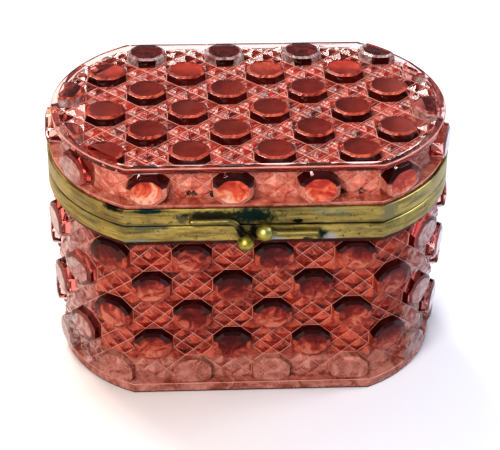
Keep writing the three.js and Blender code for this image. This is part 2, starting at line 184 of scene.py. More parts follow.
# %% Sizes of the pattern
OCTAGON = math.tan(math.pi / 8)
DIAMOND = 1 - OCTAGON
GIRDLE = 0.93
WALL_TABLE = 0.72
LID_TABLE = 0.79
CORNER_CUT = 0.14
CROWN = 0.6 * MM
GROOVE_DEPTH = 3.35 * MM
BUTTON_HEIGHT = 3.2 * MM
BAND_RISE = 1.9 * MM
STAR_PEAK = 1.5 * MM
CORNER_PEAK = 1.25 * MM
BAR_PEAK = 0.9 * MM
SIDE_PEAK = 0.6 * MM
ARRIS = 0.15 * MM
WELD = 1e-6
print("a star's middle takes up", round(DIAMOND, 3), "of the way to the edge of its cell")


# %% Faces of a button and of a star
def quarter_turns(u, w, height):
    """A point of a cell and its three copies, a quarter turn apart."""
    return [(u, w, height), (-w, u, height), (-u, -w, height), (w, -u, height)]


def corner_faces():
    """The four raised corners of a cell, which meet those of its neighbours in one pyramid."""
    low = quarter_turns(1, OCTAGON, 0)
    peak = quarter_turns(1, 1, CORNER_PEAK)
    high = quarter_turns(OCTAGON, 1, 0)
    return [list(face) for face in zip(low, peak, high)]


def button_faces(height, table):
    """A block with eight sides, a sloping crown with sixteen corners and a flat table."""
    low = quarter_turns(1, -OCTAGON, 0)
    high = quarter_turns(1, OCTAGON, 0)
    foot = [Vector(point) for pair in zip(low, high) for point in pair]
    corners = [foot[i].lerp(foot[(i + step) % 8], CORNER_CUT) for i in range(8) for step in (-1, 1)]
    rings = [[Vector((c.x * size, c.y * size, z)) for c in corners]
             for size, z in ((GIRDLE, height - CROWN), (table, height))]
    faces = corner_faces() + [rings[1]]
    for i in range(8):
        after = (i + 1) % 8
        faces.append([foot[i], foot[after], rings[0][2 * after], rings[0][2 * i + 1]])
        faces.append([foot[i], rings[0][2 * i + 1], rings[0][2 * i]])
    for i in range(16):
        after = (i + 1) % 16
        faces.append([rings[0][i], rings[0][after], rings[1][after], rings[1][i]])
    return faces


def star_faces():
    """A pyramid, four bars with a ridge and four small three sided facets."""
    faces = corner_faces()
    tips = quarter_turns(DIAMOND, 0, 0)
    low = quarter_turns(1, OCTAGON, 0)
    high = quarter_turns(OCTAGON, 1, 0)
    under = quarter_turns(1, -OCTAGON, 0)
    ridge = quarter_turns(0.5, 0.5, BAR_PEAK)
    side = quarter_turns((2 + DIAMOND) / 3, 0, SIDE_PEAK)
    middle = (0, 0, STAR_PEAK)
    for i in range(4):
        after = (i + 1) % 4
        faces.append([middle, tips[i], tips[after]])
        for ring, peak in (([under[i], low[i], tips[i]], side[i]),
                           ([tips[i], low[i], high[i], tips[after]], ridge[i])):
            for k, corner in enumerate(ring):
                faces.append([corner, ring[(k + 1) % len(ring)], peak])
    return faces


print("faces of a button and of a star:", len(button_faces(1, WALL_TABLE)), len(star_faces()))


# %% The cells as objects
def cell_object(name, faces):
    """One cell as an object one unit wide, for the tree to repeat. Its UV map is the cell itself."""
    bm = bmesh.new()
    for face in faces:
        bm.faces.new([bm.verts.new((u / 2, w / 2, height)) for u, w, height in face])
    layer = bm.loops.layers.uv.new("cell")
    for loop in (loop for face in bm.faces for loop in face.loops):
        loop[layer].uv = (loop.vert.co.x * 2, loop.vert.co.y * 2)
    bmesh.ops.remove_doubles(bm, verts=bm.verts, dist=WELD)
    mesh = bpy.data.meshes.new(name)
    bm.to_mesh(mesh)
    bm.free()
    return bpy.data.objects.new(name, mesh)


wall_button = cell_object("wall_button_cell", button_faces(BUTTON_HEIGHT, WALL_TABLE))
lid_button = cell_object("lid_button_cell", button_faces(BUTTON_HEIGHT, LID_TABLE))
band_button = cell_object("band_button_cell", button_faces(BUTTON_HEIGHT + BAND_RISE, WALL_TABLE))
star = cell_object("star_cell", star_faces())
print("faces in a button and a star:", len(wall_button.data.polygons), len(star.data.polygons))

# %% [markdown]
# ## Laying out the cells
# The pattern is a rule and not a shape: buttons and stars take turns in both directions, as on a
# chess board. Array modifiers repeat one thing only, and copies made in a loop are slow. A Geometry
# Nodes tree does it with instances, and its named inputs let the same tree make the walls, the band
# and the top of the lid. The sheet stays flat until a later step bends it round the walls.

# %% The tree that lays out the cells
def cell_tree():
    """Lays buttons and stars out in turns on a flat sheet that starts at the origin."""
    tree = bpy.data.node_groups.new("cut_cells", "GeometryNodeTree")
    for name, kind in (("Columns", "Int"), ("Rows", "Int"), ("Cell Width", "Float"),
                       ("Cell Height", "Float"), ("Shift", "Int"), ("Button", "Object"),
                       ("Star", "Object"), ("Glass", "Material")):
        tree.interface.new_socket(name=name, in_out="INPUT", socket_type="NodeSocket" + kind)
    tree.interface.new_socket(name="Sheet", in_out="OUTPUT", socket_type="NodeSocketGeometry")
    given = tree.nodes.new("NodeGroupInput").outputs
    index = add_node(tree, "GeometryNodeInputIndex").outputs[0]
    rows_done = sum_of(tree, "DIVIDE", sum_of(tree, "ADD", index, 0.5), given["Columns"])
    row = sum_of(tree, "FLOOR", rows_done)
    column = sum_of(tree, "SUBTRACT", index, sum_of(tree, "MULTIPLY", row, given["Columns"]))
    place = add_node(tree, "ShaderNodeCombineXYZ", {
        "X": sum_of(tree, "MULTIPLY", sum_of(tree, "ADD", column, 0.5), given["Cell Width"]),
        "Y": sum_of(tree, "MULTIPLY", sum_of(tree, "ADD", row, 0.5), given["Cell Height"]),
    }).outputs[0]
    count = sum_of(tree, "MULTIPLY", given["Columns"], given["Rows"])
    points = add_node(tree, "GeometryNodePoints", {"Count": count, "Position": place}).outputs[0]
    turn = sum_of(tree, "ADD", sum_of(tree, "ADD", column, row), given["Shift"])
    odd = sum_of(tree, "MODULO", turn, 2.0)
    scale = add_node(tree, "ShaderNodeCombineXYZ", {
        "X": given["Cell Width"], "Y": given["Cell Height"], "Z": 1.0}).outputs[0]
    joined = tree.nodes.new("GeometryNodeJoinGeometry")
    for name, chosen in (("Button", odd), ("Star", sum_of(tree, "SUBTRACT", 1.0, odd))):
        shape = add_node(tree, "GeometryNodeObjectInfo", {"Object": given[name]}).outputs["Geometry"]
        cells = add_node(tree, "GeometryNodeInstanceOnPoints", {
            "Points": points, "Instance": shape, "Scale": scale,
            "Selection": sum_of(tree, "GREATER_THAN", chosen, 0.5)})
        tree.links.new(cells.outputs[0], joined.inputs[0])
    real = add_node(tree, "GeometryNodeRealizeInstances", {0: joined.outputs[0]})
    merged = add_node(tree, "GeometryNodeMergeByDistance", {"Geometry": real.outputs[0], "Distance": WELD})
    dressed = add_node(tree, "GeometryNodeSetMaterial", {
        "Geometry": merged.outputs[0], "Material": given["Glass"]})
    result = tree.nodes.new("NodeGroupOutput")
    tree.links.new(dressed.outputs[0], result.inputs[0])
    return tree


CELLS = cell_tree()
print("tree for the cells has", len(CELLS.nodes), "nodes")


# %% Running a tree
def made_by(tree, values, mesh=None):
    """Runs a tree with the given inputs, on a mesh or on nothing, and gives the result as a plain mesh."""
    maker = bpy.data.objects.new("maker", mesh or bpy.data.meshes.new("maker"))
    bpy.context.collection.objects.link(maker)
    modifier = maker.modifiers.new("tree", "NODES")
    modifier.node_group = tree
    for item in tree.interface.items_tree:
        if item.in_out == "INPUT" and item.name in values:
            modifier[item.identifier] = values[item.name]
    maker.data.update()
    bpy.context.view_layer.update()
    graph = bpy.context.evaluated_depsgraph_get()
    mesh = bpy.data.meshes.new_from_object(maker.evaluated_get(graph))
    bpy.data.objects.remove(maker)
    return mesh


print("inputs of the tree:", [item.name for item in CELLS.interface.items_tree if item.in_out == "INPUT"])

# %% [markdown]
# ## Sheets of cut cells
# A wheel never leaves a knife edge: a narrow bright line runs along the bottom of each groove. A
# Bevel modifier can't tell a groove from the other edges, so the grooves are found by their height
# and bevelled while the sheet is still flat and true to size. The narrow faces get a material slot of
# their own. The other facets get theirs by the way they face once the sheet is bent: facets that face
# one way get a darker glass, which is painted shade, because on the real casket one facet looks dark
# and the next one pale. One column more than needed is made at each side and cut off again, so that
# the two ends of the sheet match when it closes round the box.

# %% Material slots of the facets
# The last slot only marks the sloping crowns until their sheet is in place.
CLEAR, LINE, STAIN, GROUND, SIDE, FOOT, TABLE_FACE, SHADED_FACET, PALE, CROWN_FACE = range(10)
ABOVE_STARS = 2 * MM
LEVEL = 0.1 * MM
GROOVE_BOTTOM = 0.05 * MM
SAME_PLANE = 0.05
END_START = 53 * MM
FACING = 0.12
CUT_WELD = 1e-7
SEAM_NUDGE = 1e-5
print("the ends of the box start at", round(END_START / MM), "mm")


# %% A flat sheet with bevelled grooves
def flat_sheet(columns, rows, width, height, button, shift):
    """A sheet of cells in the XY plane, with its grooves bevelled."""
    mesh = made_by(CELLS, {"Columns": columns, "Rows": rows, "Cell Width": width, "Cell Height": height,
                           "Shift": shift, "Button": button, "Star": star})
    bm = bmesh.new()
    bm.from_mesh(mesh)
    bpy.data.meshes.remove(mesh)
    for face in bm.faces:
        lowest, tallest = (choose(vert.co.z for vert in face.verts) for choose in (min, max))
        face.material_index = GROUND if tallest < ABOVE_STARS else CLEAR if lowest > ABOVE_STARS else SIDE
        if face.material_index == CLEAR and tallest - lowest > LEVEL:
            face.material_index = CROWN_FACE
    grooves = [edge for edge in bm.edges if edge.is_manifold and edge.calc_face_angle() > SAME_PLANE
               and max(vert.co.z for vert in edge.verts) < GROOVE_BOTTOM]
    bmesh.ops.bevel(bm, geom=grooves, offset=ARRIS, offset_type="OFFSET", segments=1,
                    profile=0.5, affect="EDGES", material=LINE)
    return bm


def cut_sheet(bm, point, normal, clear=True):
    """Cuts the sheet by a plane. With clear, what lies on the side that the normal points to goes."""
    bmesh.ops.bisect_plane(bm, geom=bm.verts[:] + bm.edges[:] + bm.faces[:], dist=CUT_WELD,
                           plane_co=point, plane_no=normal, clear_outer=clear)


print("a bevelled groove is", round(ARRIS / MM, 2), "mm wide on each side")


# %% A sheet bent round the walls
def wall_slot(face):
    """The slot of a facet of the wall, by the way it faces.
    Sides facing up and ground facets facing down get darker glass as painted shade.
    """
    slot = face.material_index
    if slot == LINE:
        return LINE
    if abs(face.calc_center_median().x) > END_START:
        return CLEAR if slot in (SIDE, CROWN_FACE) else PALE
    if slot == GROUND:
        return SHADED_FACET if face.normal.z < -FACING else GROUND
    # Sides that face up keep the dark side glass, which is painted shade.
    if slot in (CROWN_FACE, SIDE):
        return SIDE if face.normal.z > FACING else GROUND
    return TABLE_FACE


def wall_sheet(rows, height, button, shift, plan, depth, bottom, lean=0.0, cut_low=None):
    """A sheet of cells bent round the walls, as a tube. Vertices keep their place on the outline."""
    width = 2 * plan["front"] / FRONT_COLUMNS
    bm = flat_sheet(COLUMNS + 2, rows, width, height, button, shift + 1)
    cut_sheet(bm, (width, 0, 0), (-1, 0, 0))
    cut_sheet(bm, (width * (COLUMNS + 1), 0, 0), (1, 0, 0))
    if cut_low is not None:
        cut_sheet(bm, (0, cut_low - bottom, 0), (0, -1, 0))
    places = bm.verts.layers.float.new("place")
    for vert in bm.verts:
        along, up, rise = vert.co
        column = along / width - 1
        z = bottom + up
        middle = BACK_MIDDLE + math.floor(column) + 0.5 if rise > ABOVE_STARS else None
        point = around(plan, lean * z - depth + rise, BACK_MIDDLE + column, middle)
        vert[places] = (BACK_MIDDLE + column + SEAM_NUDGE) % COLUMNS
        vert.co = (point.x, point.y, z)
    bm.normal_update()
    for face in bm.faces:
        face.material_index = wall_slot(face)
    bmesh.ops.remove_doubles(bm, verts=[v for v in bm.verts if v.is_boundary], dist=2 * WELD)
    return bm


print("the walls have", COLUMNS, "columns of cells")

# %% [markdown]
# ## Plain levels
# The foot, the neck and the inside of the glass are smooth, and so are the brass rims. A curve with a
# bevel could make them, but it wouldn't share its points with the cut sheet. Here a level is a ring
# of points at one height, faces join one level to the next, and a last helper joins a level to the
# border of a sheet, which has other points.

# %% Levels and the faces between them
ARC_STEPS = 42


def level_places():
    """Places along a plain level, close together on the arcs and at the ends of the straights."""
    places = [FRONT_COLUMNS + END_COLUMNS * i / ARC_STEPS for i in range(ARC_STEPS + 1)]
    return sorted([place + side for place in places for side in (0, FRONT_COLUMNS + END_COLUMNS)],
                  key=lambda place: place % COLUMNS)


def plain_level(bm, plan, offset, z):
    """A plain level as a chain of places and vertices."""
    chain = []
    for place in level_places():
        point = around(plan, offset, place)
        chain.append((place % COLUMNS, bm.verts.new((point.x, point.y, z))))
    return chain


def join_levels(bm, levels, slot=CLEAR):
    """Quads between plain levels that follow each other."""
    for low, high in zip(levels, levels[1:]):
        for i in range(len(low)):
            after = (i + 1) % len(low)
            corners = (low[i][1], low[after][1], high[after][1], high[i][1])
            bm.faces.new(corners).material_index = slot


def cap_level(bm, level, slot=CLEAR):
    """One flat face across a level."""
    bm.faces.new([vert for _, vert in level]).material_index = slot


print("points in a plain level:", len(level_places()))


# %% Borders of a sheet, and a border joined to a level
def open_chains(bm):
    """The open borders of a tube, lowest first, each sorted by place."""
    places = bm.verts.layers.float["place"]
    left = {vert for vert in bm.verts if vert.is_boundary}
    chains = []
    while left:
        reached, chain = [left.pop()], []
        while reached:
            vert = reached.pop()
            chain.append(vert)
            for edge in vert.link_edges:
                other = edge.other_vert(vert)
                if edge.is_boundary and other in left:
                    left.remove(other)
                    reached.append(other)
        chains.append(sorted(((vert[places], vert) for vert in chain), key=lambda pair: pair[0]))
    return sorted(chains, key=lambda chain: chain[0][1].co.z)


def next_place(chain, steps):
    """The place that the next step along a closed chain reaches, counted on past a full round."""
    after = steps + 1
    return chain[after % len(chain)][0] + after // len(chain) * COLUMNS


def zip_chains(bm, one, two, slot=CLEAR):
    """Joins two closed chains with triangles, always stepping on along the one that is behind."""
    i = j = 0
    while i < len(one) or j < len(two):
        a, b = one[i % len(one)][1], two[j % len(two)][1]
        if j == len(two) or (i < len(one) and next_place(one, i) <= next_place(two, j)):
            i += 1
            corners = (a, one[i % len(one)][1], b)
        else:
            j += 1
            corners = (a, two[j % len(two)][1], b)
        bm.faces.new(corners).material_index = slot


print("a full round is", COLUMNS, "places long")

# %% [markdown]
# ## Building blocks for materials
# Every finish here is mixed from a few things: noise, colour ramps, soft spots and bumps. Painted
# images would do too, but noise on the object's own metres has its true size on every piece and needs
# no unwrapping. A colour or number that stays the same is set straight on the shader.

# %% Shader, places and noise
def new_material(name):
    """A material with only its output and one Principled shader, as the tree and the shader."""
    material = bpy.data.materials.new(name)
    material.use_nodes = True
    tree = material.node_tree
    tree.nodes.clear()
    shader = tree.nodes.new("ShaderNodeBsdfPrincipled")
    output = tree.nodes.new("ShaderNodeOutputMaterial")
    tree.links.new(shader.outputs[0], output.inputs["Surface"])
    return material, tree, shader


def object_place(tree):
    """The place on the object, in metres."""
    return tree.nodes.new("ShaderNodeTexCoord").outputs["Object"]


def along_axis(tree, axis):
    """One coordinate of the place on the object."""
    return add_node(tree, "ShaderNodeSeparateXYZ", {0: object_place(tree)}).outputs[axis]


def noise_of(tree, scale, detail=4.0, roughness=0.55, stretch=(1, 1, 1), distortion=0.0):
    """Noise in the object's own metres, as its factor."""
    place = object_place(tree)
    if stretch != (1, 1, 1):
        place = add_node(tree, "ShaderNodeMapping", {"Vector": place, "Scale": stretch}).outputs[0]
    return add_node(tree, "ShaderNodeTexNoise", {
        "Vector": place, "Scale": scale, "Detail": detail, "Roughness": roughness,
        "Distortion": distortion}).outputs["Fac"]


print("noise is measured in metres, so a scale of 100 has grains of about a centimetre")


# %% Ramps, blends, spots and bumps
def ramp_of(tree, factor, stops):
    """A colour ramp, given as pairs of a position and a colour."""
    ramp = add_node(tree, "ShaderNodeValToRGB", {"Fac": factor})
    elements = ramp.color_ramp.elements
    while len(elements) < len(stops):
        elements.new(0.5)
    for element, (position, colour) in zip(elements, stops):
        element.position = position
        element.color = (*colour, 1)
    return ramp.outputs["Color"]


def range_of(tree, value, low, high, to_low, to_high):
    """A value moved from one range into another."""
    return add_node(tree, "ShaderNodeMapRange", {
        "Value": value, "From Min": low, "From Max": high, "To Min": to_low, "To Max": to_high}).outputs[0]


def blend(tree, factor, first, second):
    """One colour over another."""
    mix = add_node(tree, "ShaderNodeMix", {0: factor}, data_type="RGBA")
    for socket, value in ((mix.inputs[6], first), (mix.inputs[7], second)):
        if isinstance(value, bpy.types.NodeSocket):
            tree.links.new(value, socket)
        else:
            socket.default_value = (*value, 1)
    return mix.outputs[2]


def spot(tree, centre, size, rough=0.35):
    """A soft round mask with a ragged border, stretched to the given size in each direction."""
    moved = add_node(tree, "ShaderNodeVectorMath", {0: object_place(tree), 1: [c * MM for c in centre]},
                     operation="SUBTRACT").outputs[0]
    scaled = add_node(tree, "ShaderNodeVectorMath", {0: moved, 1: [1 / (s * MM) for s in size]},
                      operation="MULTIPLY").outputs[0]
    far = add_node(tree, "ShaderNodeVectorMath", {0: scaled}, operation="LENGTH").outputs["Value"]
    ragged = range_of(tree, noise_of(tree, 700, 4), 0.3, 0.7, -rough, rough)
    return range_of(tree, sum_of(tree, "ADD", far, ragged), 0.6, 1.12, 1, 0)


def bump_of(tree, shader, height, strength, distance):
    """A bump on the shader's normal."""
    bump = add_node(tree, "ShaderNodeBump", {"Height": height, "Strength": strength, "Distance": distance})
    tree.links.new(bump.outputs[0], shader.inputs["Normal"])


def roughen(tree, shader, scale, detail, smooth, rough):
    """Roughness that wanders between two values."""
    wander = range_of(tree, noise_of(tree, scale, detail), 0.3, 0.7, smooth, rough)
    tree.links.new(wander, shader.inputs["Roughness"])


print("helpers for finishes:", [make.__name__ for make in (ramp_of, blend, spot, bump_of, roughen)])

# %% [markdown]
# ## Clear glass, edges and stain
# The glass itself is clear, and the red is a thin stain on the inside. Tinting the whole volume would
# be simpler, but then the ends would be as red as the front. So the volume takes only a little of the
# colour, and the faces of the inside carry an uneven, cloudy stain, painted paler toward the ends for
# the light that shines through them. The narrow edges are slightly rough and scatter the light, and
# old dirt sits in some of them.

# %% Clear glass and bright edges
GLASS_DEPTH = (0.88, 0.25, 0.20, 1)
GLASS_DENSITY = 45
CLEAR_TINT = (0.97, 0.80, 0.77, 1)
EDGE_STOPS = [(0.3, (0.64, 0.25, 0.19)), (0.7, (0.82, 0.44, 0.37))]
DIRT = (0.03, 0.015, 0.010)


def new_glass(name, see_through, bending):
    """See-through glass that takes on colour where light runs a long way inside it."""
    material, tree, shader = new_material(name)
    shader.inputs["Transmission Weight"].default_value = see_through
    shader.inputs["IOR"].default_value = bending
    depth = add_node(tree, "ShaderNodeVolumeAbsorption", {"Color": GLASS_DEPTH, "Density": GLASS_DENSITY})
    output = next(node for node in tree.nodes if node.type == "OUTPUT_MATERIAL")
    tree.links.new(depth.outputs[0], output.inputs["Volume"])
    return material, tree, shader


def clear_glass():
    """Clear old glass, with a slightly wavy and rubbed surface."""
    material, tree, shader = new_glass("clear_glass", 1, 1.36)
    shader.inputs["Base Color"].default_value = CLEAR_TINT
    rubbed = range_of(tree, noise_of(tree, 260, 6), 0.45, 0.8, 0.0, 0.06)
    tree.links.new(rubbed, shader.inputs["Roughness"])
    bump_of(tree, shader, noise_of(tree, 60, 0), 0.05, 0.3 * MM)
    return material


def bright_edge(name, grime=()):
    """The ground line along the bottom of a groove, with the spots where old dirt sits in it."""
    material, tree, shader = new_glass(name, 0.5, 1.5)
    shader.inputs["Specular IOR Level"].default_value = 0.25
    colour = ramp_of(tree, noise_of(tree, 300, 3), EDGE_STOPS)
    for centre in grime:
        colour = blend(tree, spot(tree, centre, (1.7, 4, 1.5)), colour, DIRT)
    tree.links.new(colour, shader.inputs["Base Color"])
    roughen(tree, shader, 500, 2, 0.35, 0.6)
    return material


clear = clear_glass()
print("made", clear.name)


# %% The stain on the inside
# The stain is painted paler toward the ends, for the light that shines through the clear ends.
LIT_END_SPAN = 44 * MM, 60 * MM
LIT_END_STAIN = (0.95, 0.62, 0.57)


def toward_ends(tree, start, stop):
    """How far out a place is toward the ends of the box, from 0 at the start to 1 at the stop."""
    return range_of(tree, sum_of(tree, "ABSOLUTE", along_axis(tree, "X")), start, stop, 0, 1)


def red_stain(name, stops, see_through):
    """The red stain on the inside, uneven because it was put on by hand.
    It is painted pale at the ends, for the light that shines through the clear ends.
    """
    material, tree, shader = new_glass(name, see_through, 1.1)
    patches = sum_of(tree, "MULTIPLY", noise_of(tree, 110, 5, 0.65), 0.65)
    swirls = sum_of(tree, "MULTIPLY", noise_of(tree, 60, 2, 0.5, stretch=(1, 1, 1.8)), 0.35)
    uneven = ramp_of(tree, sum_of(tree, "ADD", patches, swirls), stops)
    colour = blend(tree, toward_ends(tree, *LIT_END_SPAN), uneven, LIT_END_STAIN)
    tree.links.new(colour, shader.inputs["Base Color"])
    roughen(tree, shader, 200, 3, 0.06, 0.2)
    bump_of(tree, shader, noise_of(tree, 120, 2), 0.08, 0.3 * MM)
    return material


body_stain = red_stain("body_stain", [(0.36, (0.50, 0.022, 0.011)), (0.50, (0.78, 0.095, 0.042)),
                                      (0.64, (0.92, 0.240, 0.130))], 0.5)
# The lid's stain is painted brighter than the body's, for the light from above that shines into the lid.
lit_lid_stain = red_stain("lit_lid_stain", [(0.36, (0.82, 0.130, 0.070)), (0.50, (0.94, 0.260, 0.150)),
                                    (0.64, (1.00, 0.450, 0.310))], 0.28)
print("made", body_stain.name, "and", lit_lid_stain.name)

# %% [markdown]
# ## The cut facets
# The thick glass throws the stain from one place to another, so one facet looks dark, the next one
# pale, and a button holds swirls of red. Tracing that truly would need every cut of the real wheel.
# So each kind of facet gets a see-through glass of its own with its own tones, and the darker glasses
# for facets that face a certain way are painted shade. The finest cuts, along both diagonals of a
# star, would be thousands of thin grooves as a mesh. A pattern on the UV map draws them instead,
# because every cell brings the same map with it.

# %% Fine cuts and ground glass
CUT_SPACING = DIAMOND / 2
CUT_COLOUR = (1.0, 0.50, 0.39)
OLD_DUST = (0.03, 0.025, 0.018)


def fine_cuts(tree):
    """Fine cuts along both diagonals of a cell, 1 on a cut and 0 beside it, from the UV map.
    Plain faces have no map, so they count as the middle of a cell, which lies between two cuts."""
    cell = add_node(tree, "ShaderNodeUVMap", uv_map="cell").outputs[0]
    parts = add_node(tree, "ShaderNodeSeparateXYZ", {0: cell}).outputs
    cuts = []
    for operation in ("ADD", "SUBTRACT"):
        across = sum_of(tree, operation, parts["X"], parts["Y"])
        beside = sum_of(tree, "PINGPONG", sum_of(tree, "ADD", across, CUT_SPACING / 2), CUT_SPACING / 2)
        cuts.append(range_of(tree, beside, 0.0, CUT_SPACING * 0.14, 1, 0))
    return sum_of(tree, "MAXIMUM", *cuts)


def ground_glass(name, stops, see_through, grime=()):
    """Cut or pressed glass that is less polished than the buttons and so looks paler."""
    material, tree, shader = new_glass(name, see_through, 1.4)
    shader.inputs["Specular IOR Level"].default_value = 0.3
    colour = ramp_of(tree, noise_of(tree, 190, 5, 0.65, distortion=1.2), stops)
    cuts = fine_cuts(tree)
    worn = range_of(tree, noise_of(tree, 120, 2), 0.35, 0.65, 0.05, 0.6)
    colour = blend(tree, sum_of(tree, "MULTIPLY", cuts, worn), colour, CUT_COLOUR)
    bump_of(tree, shader, cuts, 0.35, 0.25 * MM)
    flakes = range_of(tree, noise_of(tree, 900, 3), 0.44, 0.5, 0, 1)
    for centre in grime:
        mask = sum_of(tree, "MULTIPLY", spot(tree, centre, (2.4, 4, 1.3)), flakes)
        colour = blend(tree, mask, colour, OLD_DUST)
    tree.links.new(colour, shader.inputs["Base Color"])
    roughen(tree, shader, 240, 3, 0.15, 0.32)
    return material


star_glass = ground_glass("star_glass", [(0.40, (0.38, 0.026, 0.013)), (0.60, (0.98, 0.240, 0.135))], 0.7)
# A darker copy of the star glass, painted shade for facets that face a certain way.
shaded_facet_glass = ground_glass("shaded_facet_glass", [(0.40, (0.12, 0.005, 0.003)), (0.60, (0.76, 0.065, 0.024))], 0.72)
foot_glass = ground_glass("foot_glass", [(0.36, (0.42, 0.11, 0.075)), (0.64, (0.94, 0.46, 0.38))], 0.62)
print("made", star_glass.name, shaded_facet_glass.name, foot_glass.name)


# %% Tables of the buttons
FIRST_ROW, ROW_PITCH = 1.9 * MM, 12.2 * MM
BAND_BOTTOM, BAND_HEIGHT = 79.8 * MM, 11.6 * MM


def table_glass(name, stops, bottom, pitch):
    """The flat of a button: streaks of colour from inside, dark above and lit from the table below."""
    material, tree, shader = new_glass(name, 0.6, 1.4)
    rows = sum_of(tree, "DIVIDE", sum_of(tree, "SUBTRACT", along_axis(tree, "Z"), bottom), pitch)
    level = range_of(tree, sum_of(tree, "FRACT", rows), 0.15, 0.8, 0.16, -0.16)
    streaks = noise_of(tree, 170, 4, 0.6, distortion=2.2)
    cells = range_of(tree, noise_of(tree, 45, 0), 0.35, 0.65, -0.1, 0.1)
    colour = ramp_of(tree, sum_of(tree, "ADD", sum_of(tree, "ADD", streaks, level), cells), stops)
    tree.links.new(colour, shader.inputs["Base Color"])
    roughen(tree, shader, 150, 3, 0.02, 0.12)
    bump_of(tree, shader, noise_of(tree, 90, 1), 0.15, 0.3 * MM)
    return material


body_table = table_glass("body_table_glass", [
    (0.32, (0.10, 0.004, 0.004)), (0.48, (0.30, 0.026, 0.016)), (0.60, (0.58, 0.120, 0.070)),
    (0.74, (0.80, 0.30, 0.20))], FIRST_ROW, ROW_PITCH)
# The band's tables are painted brighter than the body's, for the light from above that shines through the
# lid.
lit_band_table = table_glass("band_table_glass", [
    (0.34, (0.54, 0.045, 0.020)), (0.48, (0.86, 0.16, 0.075)), (0.60, (0.98, 0.36, 0.21)),
    (0.72, (1.0, 0.68, 0.52))], BAND_BOTTOM, BAND_HEIGHT)
print("made", body_table.name, "and", lit_band_table.name)


# %% Pale ends, partly painted light, and sides darkened as painted shade
NEAR_STOPS = [(0.40, (0.36, 0.040, 0.025)), (0.60, (0.92, 0.34, 0.25))]
LIT_FAR_STOPS = [(0.40, (0.50, 0.22, 0.21)), (0.60, (1.0, 0.90, 0.88))]
SHADED_SIDE_STOPS = [(0.35, (0.06, 0.005, 0.004)), (0.7, (0.24, 0.028, 0.022))]
ENDS_PALE = 50 * MM, 63 * MM
BACK_PALE = 24 * MM, 30 * MM


def pale_glass():
    """The glass of the ends and of the back edge of the lid, where hardly any stain lies behind it.
    Its nearly white tones are painted light, for the bright backdrop that shines through.
    """
    material, tree, shader = new_glass("pale_glass", 0.72, 1.42)
    cloudy = noise_of(tree, 200, 4, 0.6, distortion=2.4)
    near, far = ramp_of(tree, cloudy, NEAR_STOPS), ramp_of(tree, cloudy, LIT_FAR_STOPS)
    colour = blend(tree, toward_ends(tree, *ENDS_PALE), near, far)
    colour = blend(tree, range_of(tree, along_axis(tree, "Y"), *BACK_PALE, 0, 1), colour, far)
    tree.links.new(colour, shader.inputs["Base Color"])
    roughen(tree, shader, 240, 3, 0.03, 0.2)
    return material


def shaded_side_glass():
    """The sides of the buttons: painted shade, as if light had a long way through the glass."""
    material, tree, shader = new_glass("shaded_side_glass", 0.9, 1.45)
    tree.links.new(ramp_of(tree, noise_of(tree, 60, 2), SHADED_SIDE_STOPS), shader.inputs["Base Color"])
    shader.inputs["Roughness"].default_value = 0.03
    return material


sides, pale = shaded_side_glass(), pale_glass()
print("made", sides.name, "and", pale.name)

# %% One list of glasses for the body and one for the lid, in the order of the slots
GRIME = [(-20.8, -42.2, 82.5), (-13, -42.2, 82.3), (28.8, -42.2, 82.2), (35.4, -42.2, 82.0)]
band_glass = ground_glass("band_glass", [(0.36, (0.56, 0.13, 0.080)), (0.64, (1.0, 0.50, 0.39))], 0.62,
                          GRIME)
BODY_MATERIALS = [clear, bright_edge("body_edges"), body_stain, star_glass, sides, foot_glass,
                  body_table, shaded_facet_glass, pale]
LID_MATERIALS = [clear, bright_edge("lid_edges", GRIME), lit_lid_stain, star_glass, sides, band_glass,
                 lit_band_table, shaded_facet_glass, pale]
print("glass slots:", [material.name for material in BODY_MATERIALS])

# %% [markdown]
# ## The glass body
# The body is one thick piece of glass: cut walls, a plain foot, a plain neck that stands in the lower
# rim, and a plain inside. A cut skin with a Solidify modifier would have the pattern on the inside
# too, where the real glass is smooth. So the tube of cells is closed below and above with plain
# levels, and the result is one closed skin with true wall thickness.

# %% Sizes of the body
BODY_DRAFT = 0.037
BODY_ROWS = 5
FOOT_BEVEL = 0.8 * MM
FOOT_HEIGHT = 3.9 * MM
FOOT_SOFT = 0.2 * MM
BEVEL_IN, BEVEL_UP = 0.25 * MM, 0.18 * MM
CELLS_START = 4.7 * MM
ROWS_TOP = FIRST_ROW + BODY_ROWS * ROW_PITCH
NECK_FOOT = ROWS_TOP + 1.95 * MM
BODY_TOP = 71.35 * MM
NECK_OFFSET = 0.55 * MM
NECK_INNER = NECK_OFFSET - 6 * MM
WALL_INSIDE = -GROOVE_DEPTH - 3.2 * MM
FLOOR_TOP = 8 * MM
ROUNDING = 2.2 * MM
ROUND_STEPS = 4
SHARP_GLASS = 10
print("the glass under the grooves is", round((-GROOVE_DEPTH - WALL_INSIDE) / MM, 2), "mm thick")


# %% Finished meshes and rounded insides
def finish_mesh(bm, name, materials, sharp_angle):
    """Turns a mesh that was built face by face into an object with smooth arcs and sharp edges."""
    bmesh.ops.recalc_face_normals(bm, faces=bm.faces)
    open_edges = sum(not edge.is_manifold for edge in bm.edges)
    mesh = bpy.data.meshes.new(name)
    bm.to_mesh(mesh)
    bm.free()
    for material in materials:
        mesh.materials.append(material)
    mesh.polygons.foreach_set("use_smooth", [True] * len(mesh.polygons))
    mesh.set_sharp_from_angle(angle=math.radians(sharp_angle))
    piece = bpy.data.objects.new(name, mesh)
    bpy.context.collection.objects.link(piece)
    print(name, "has", len(mesh.polygons), "faces and", open_edges, "open edges")
    return piece


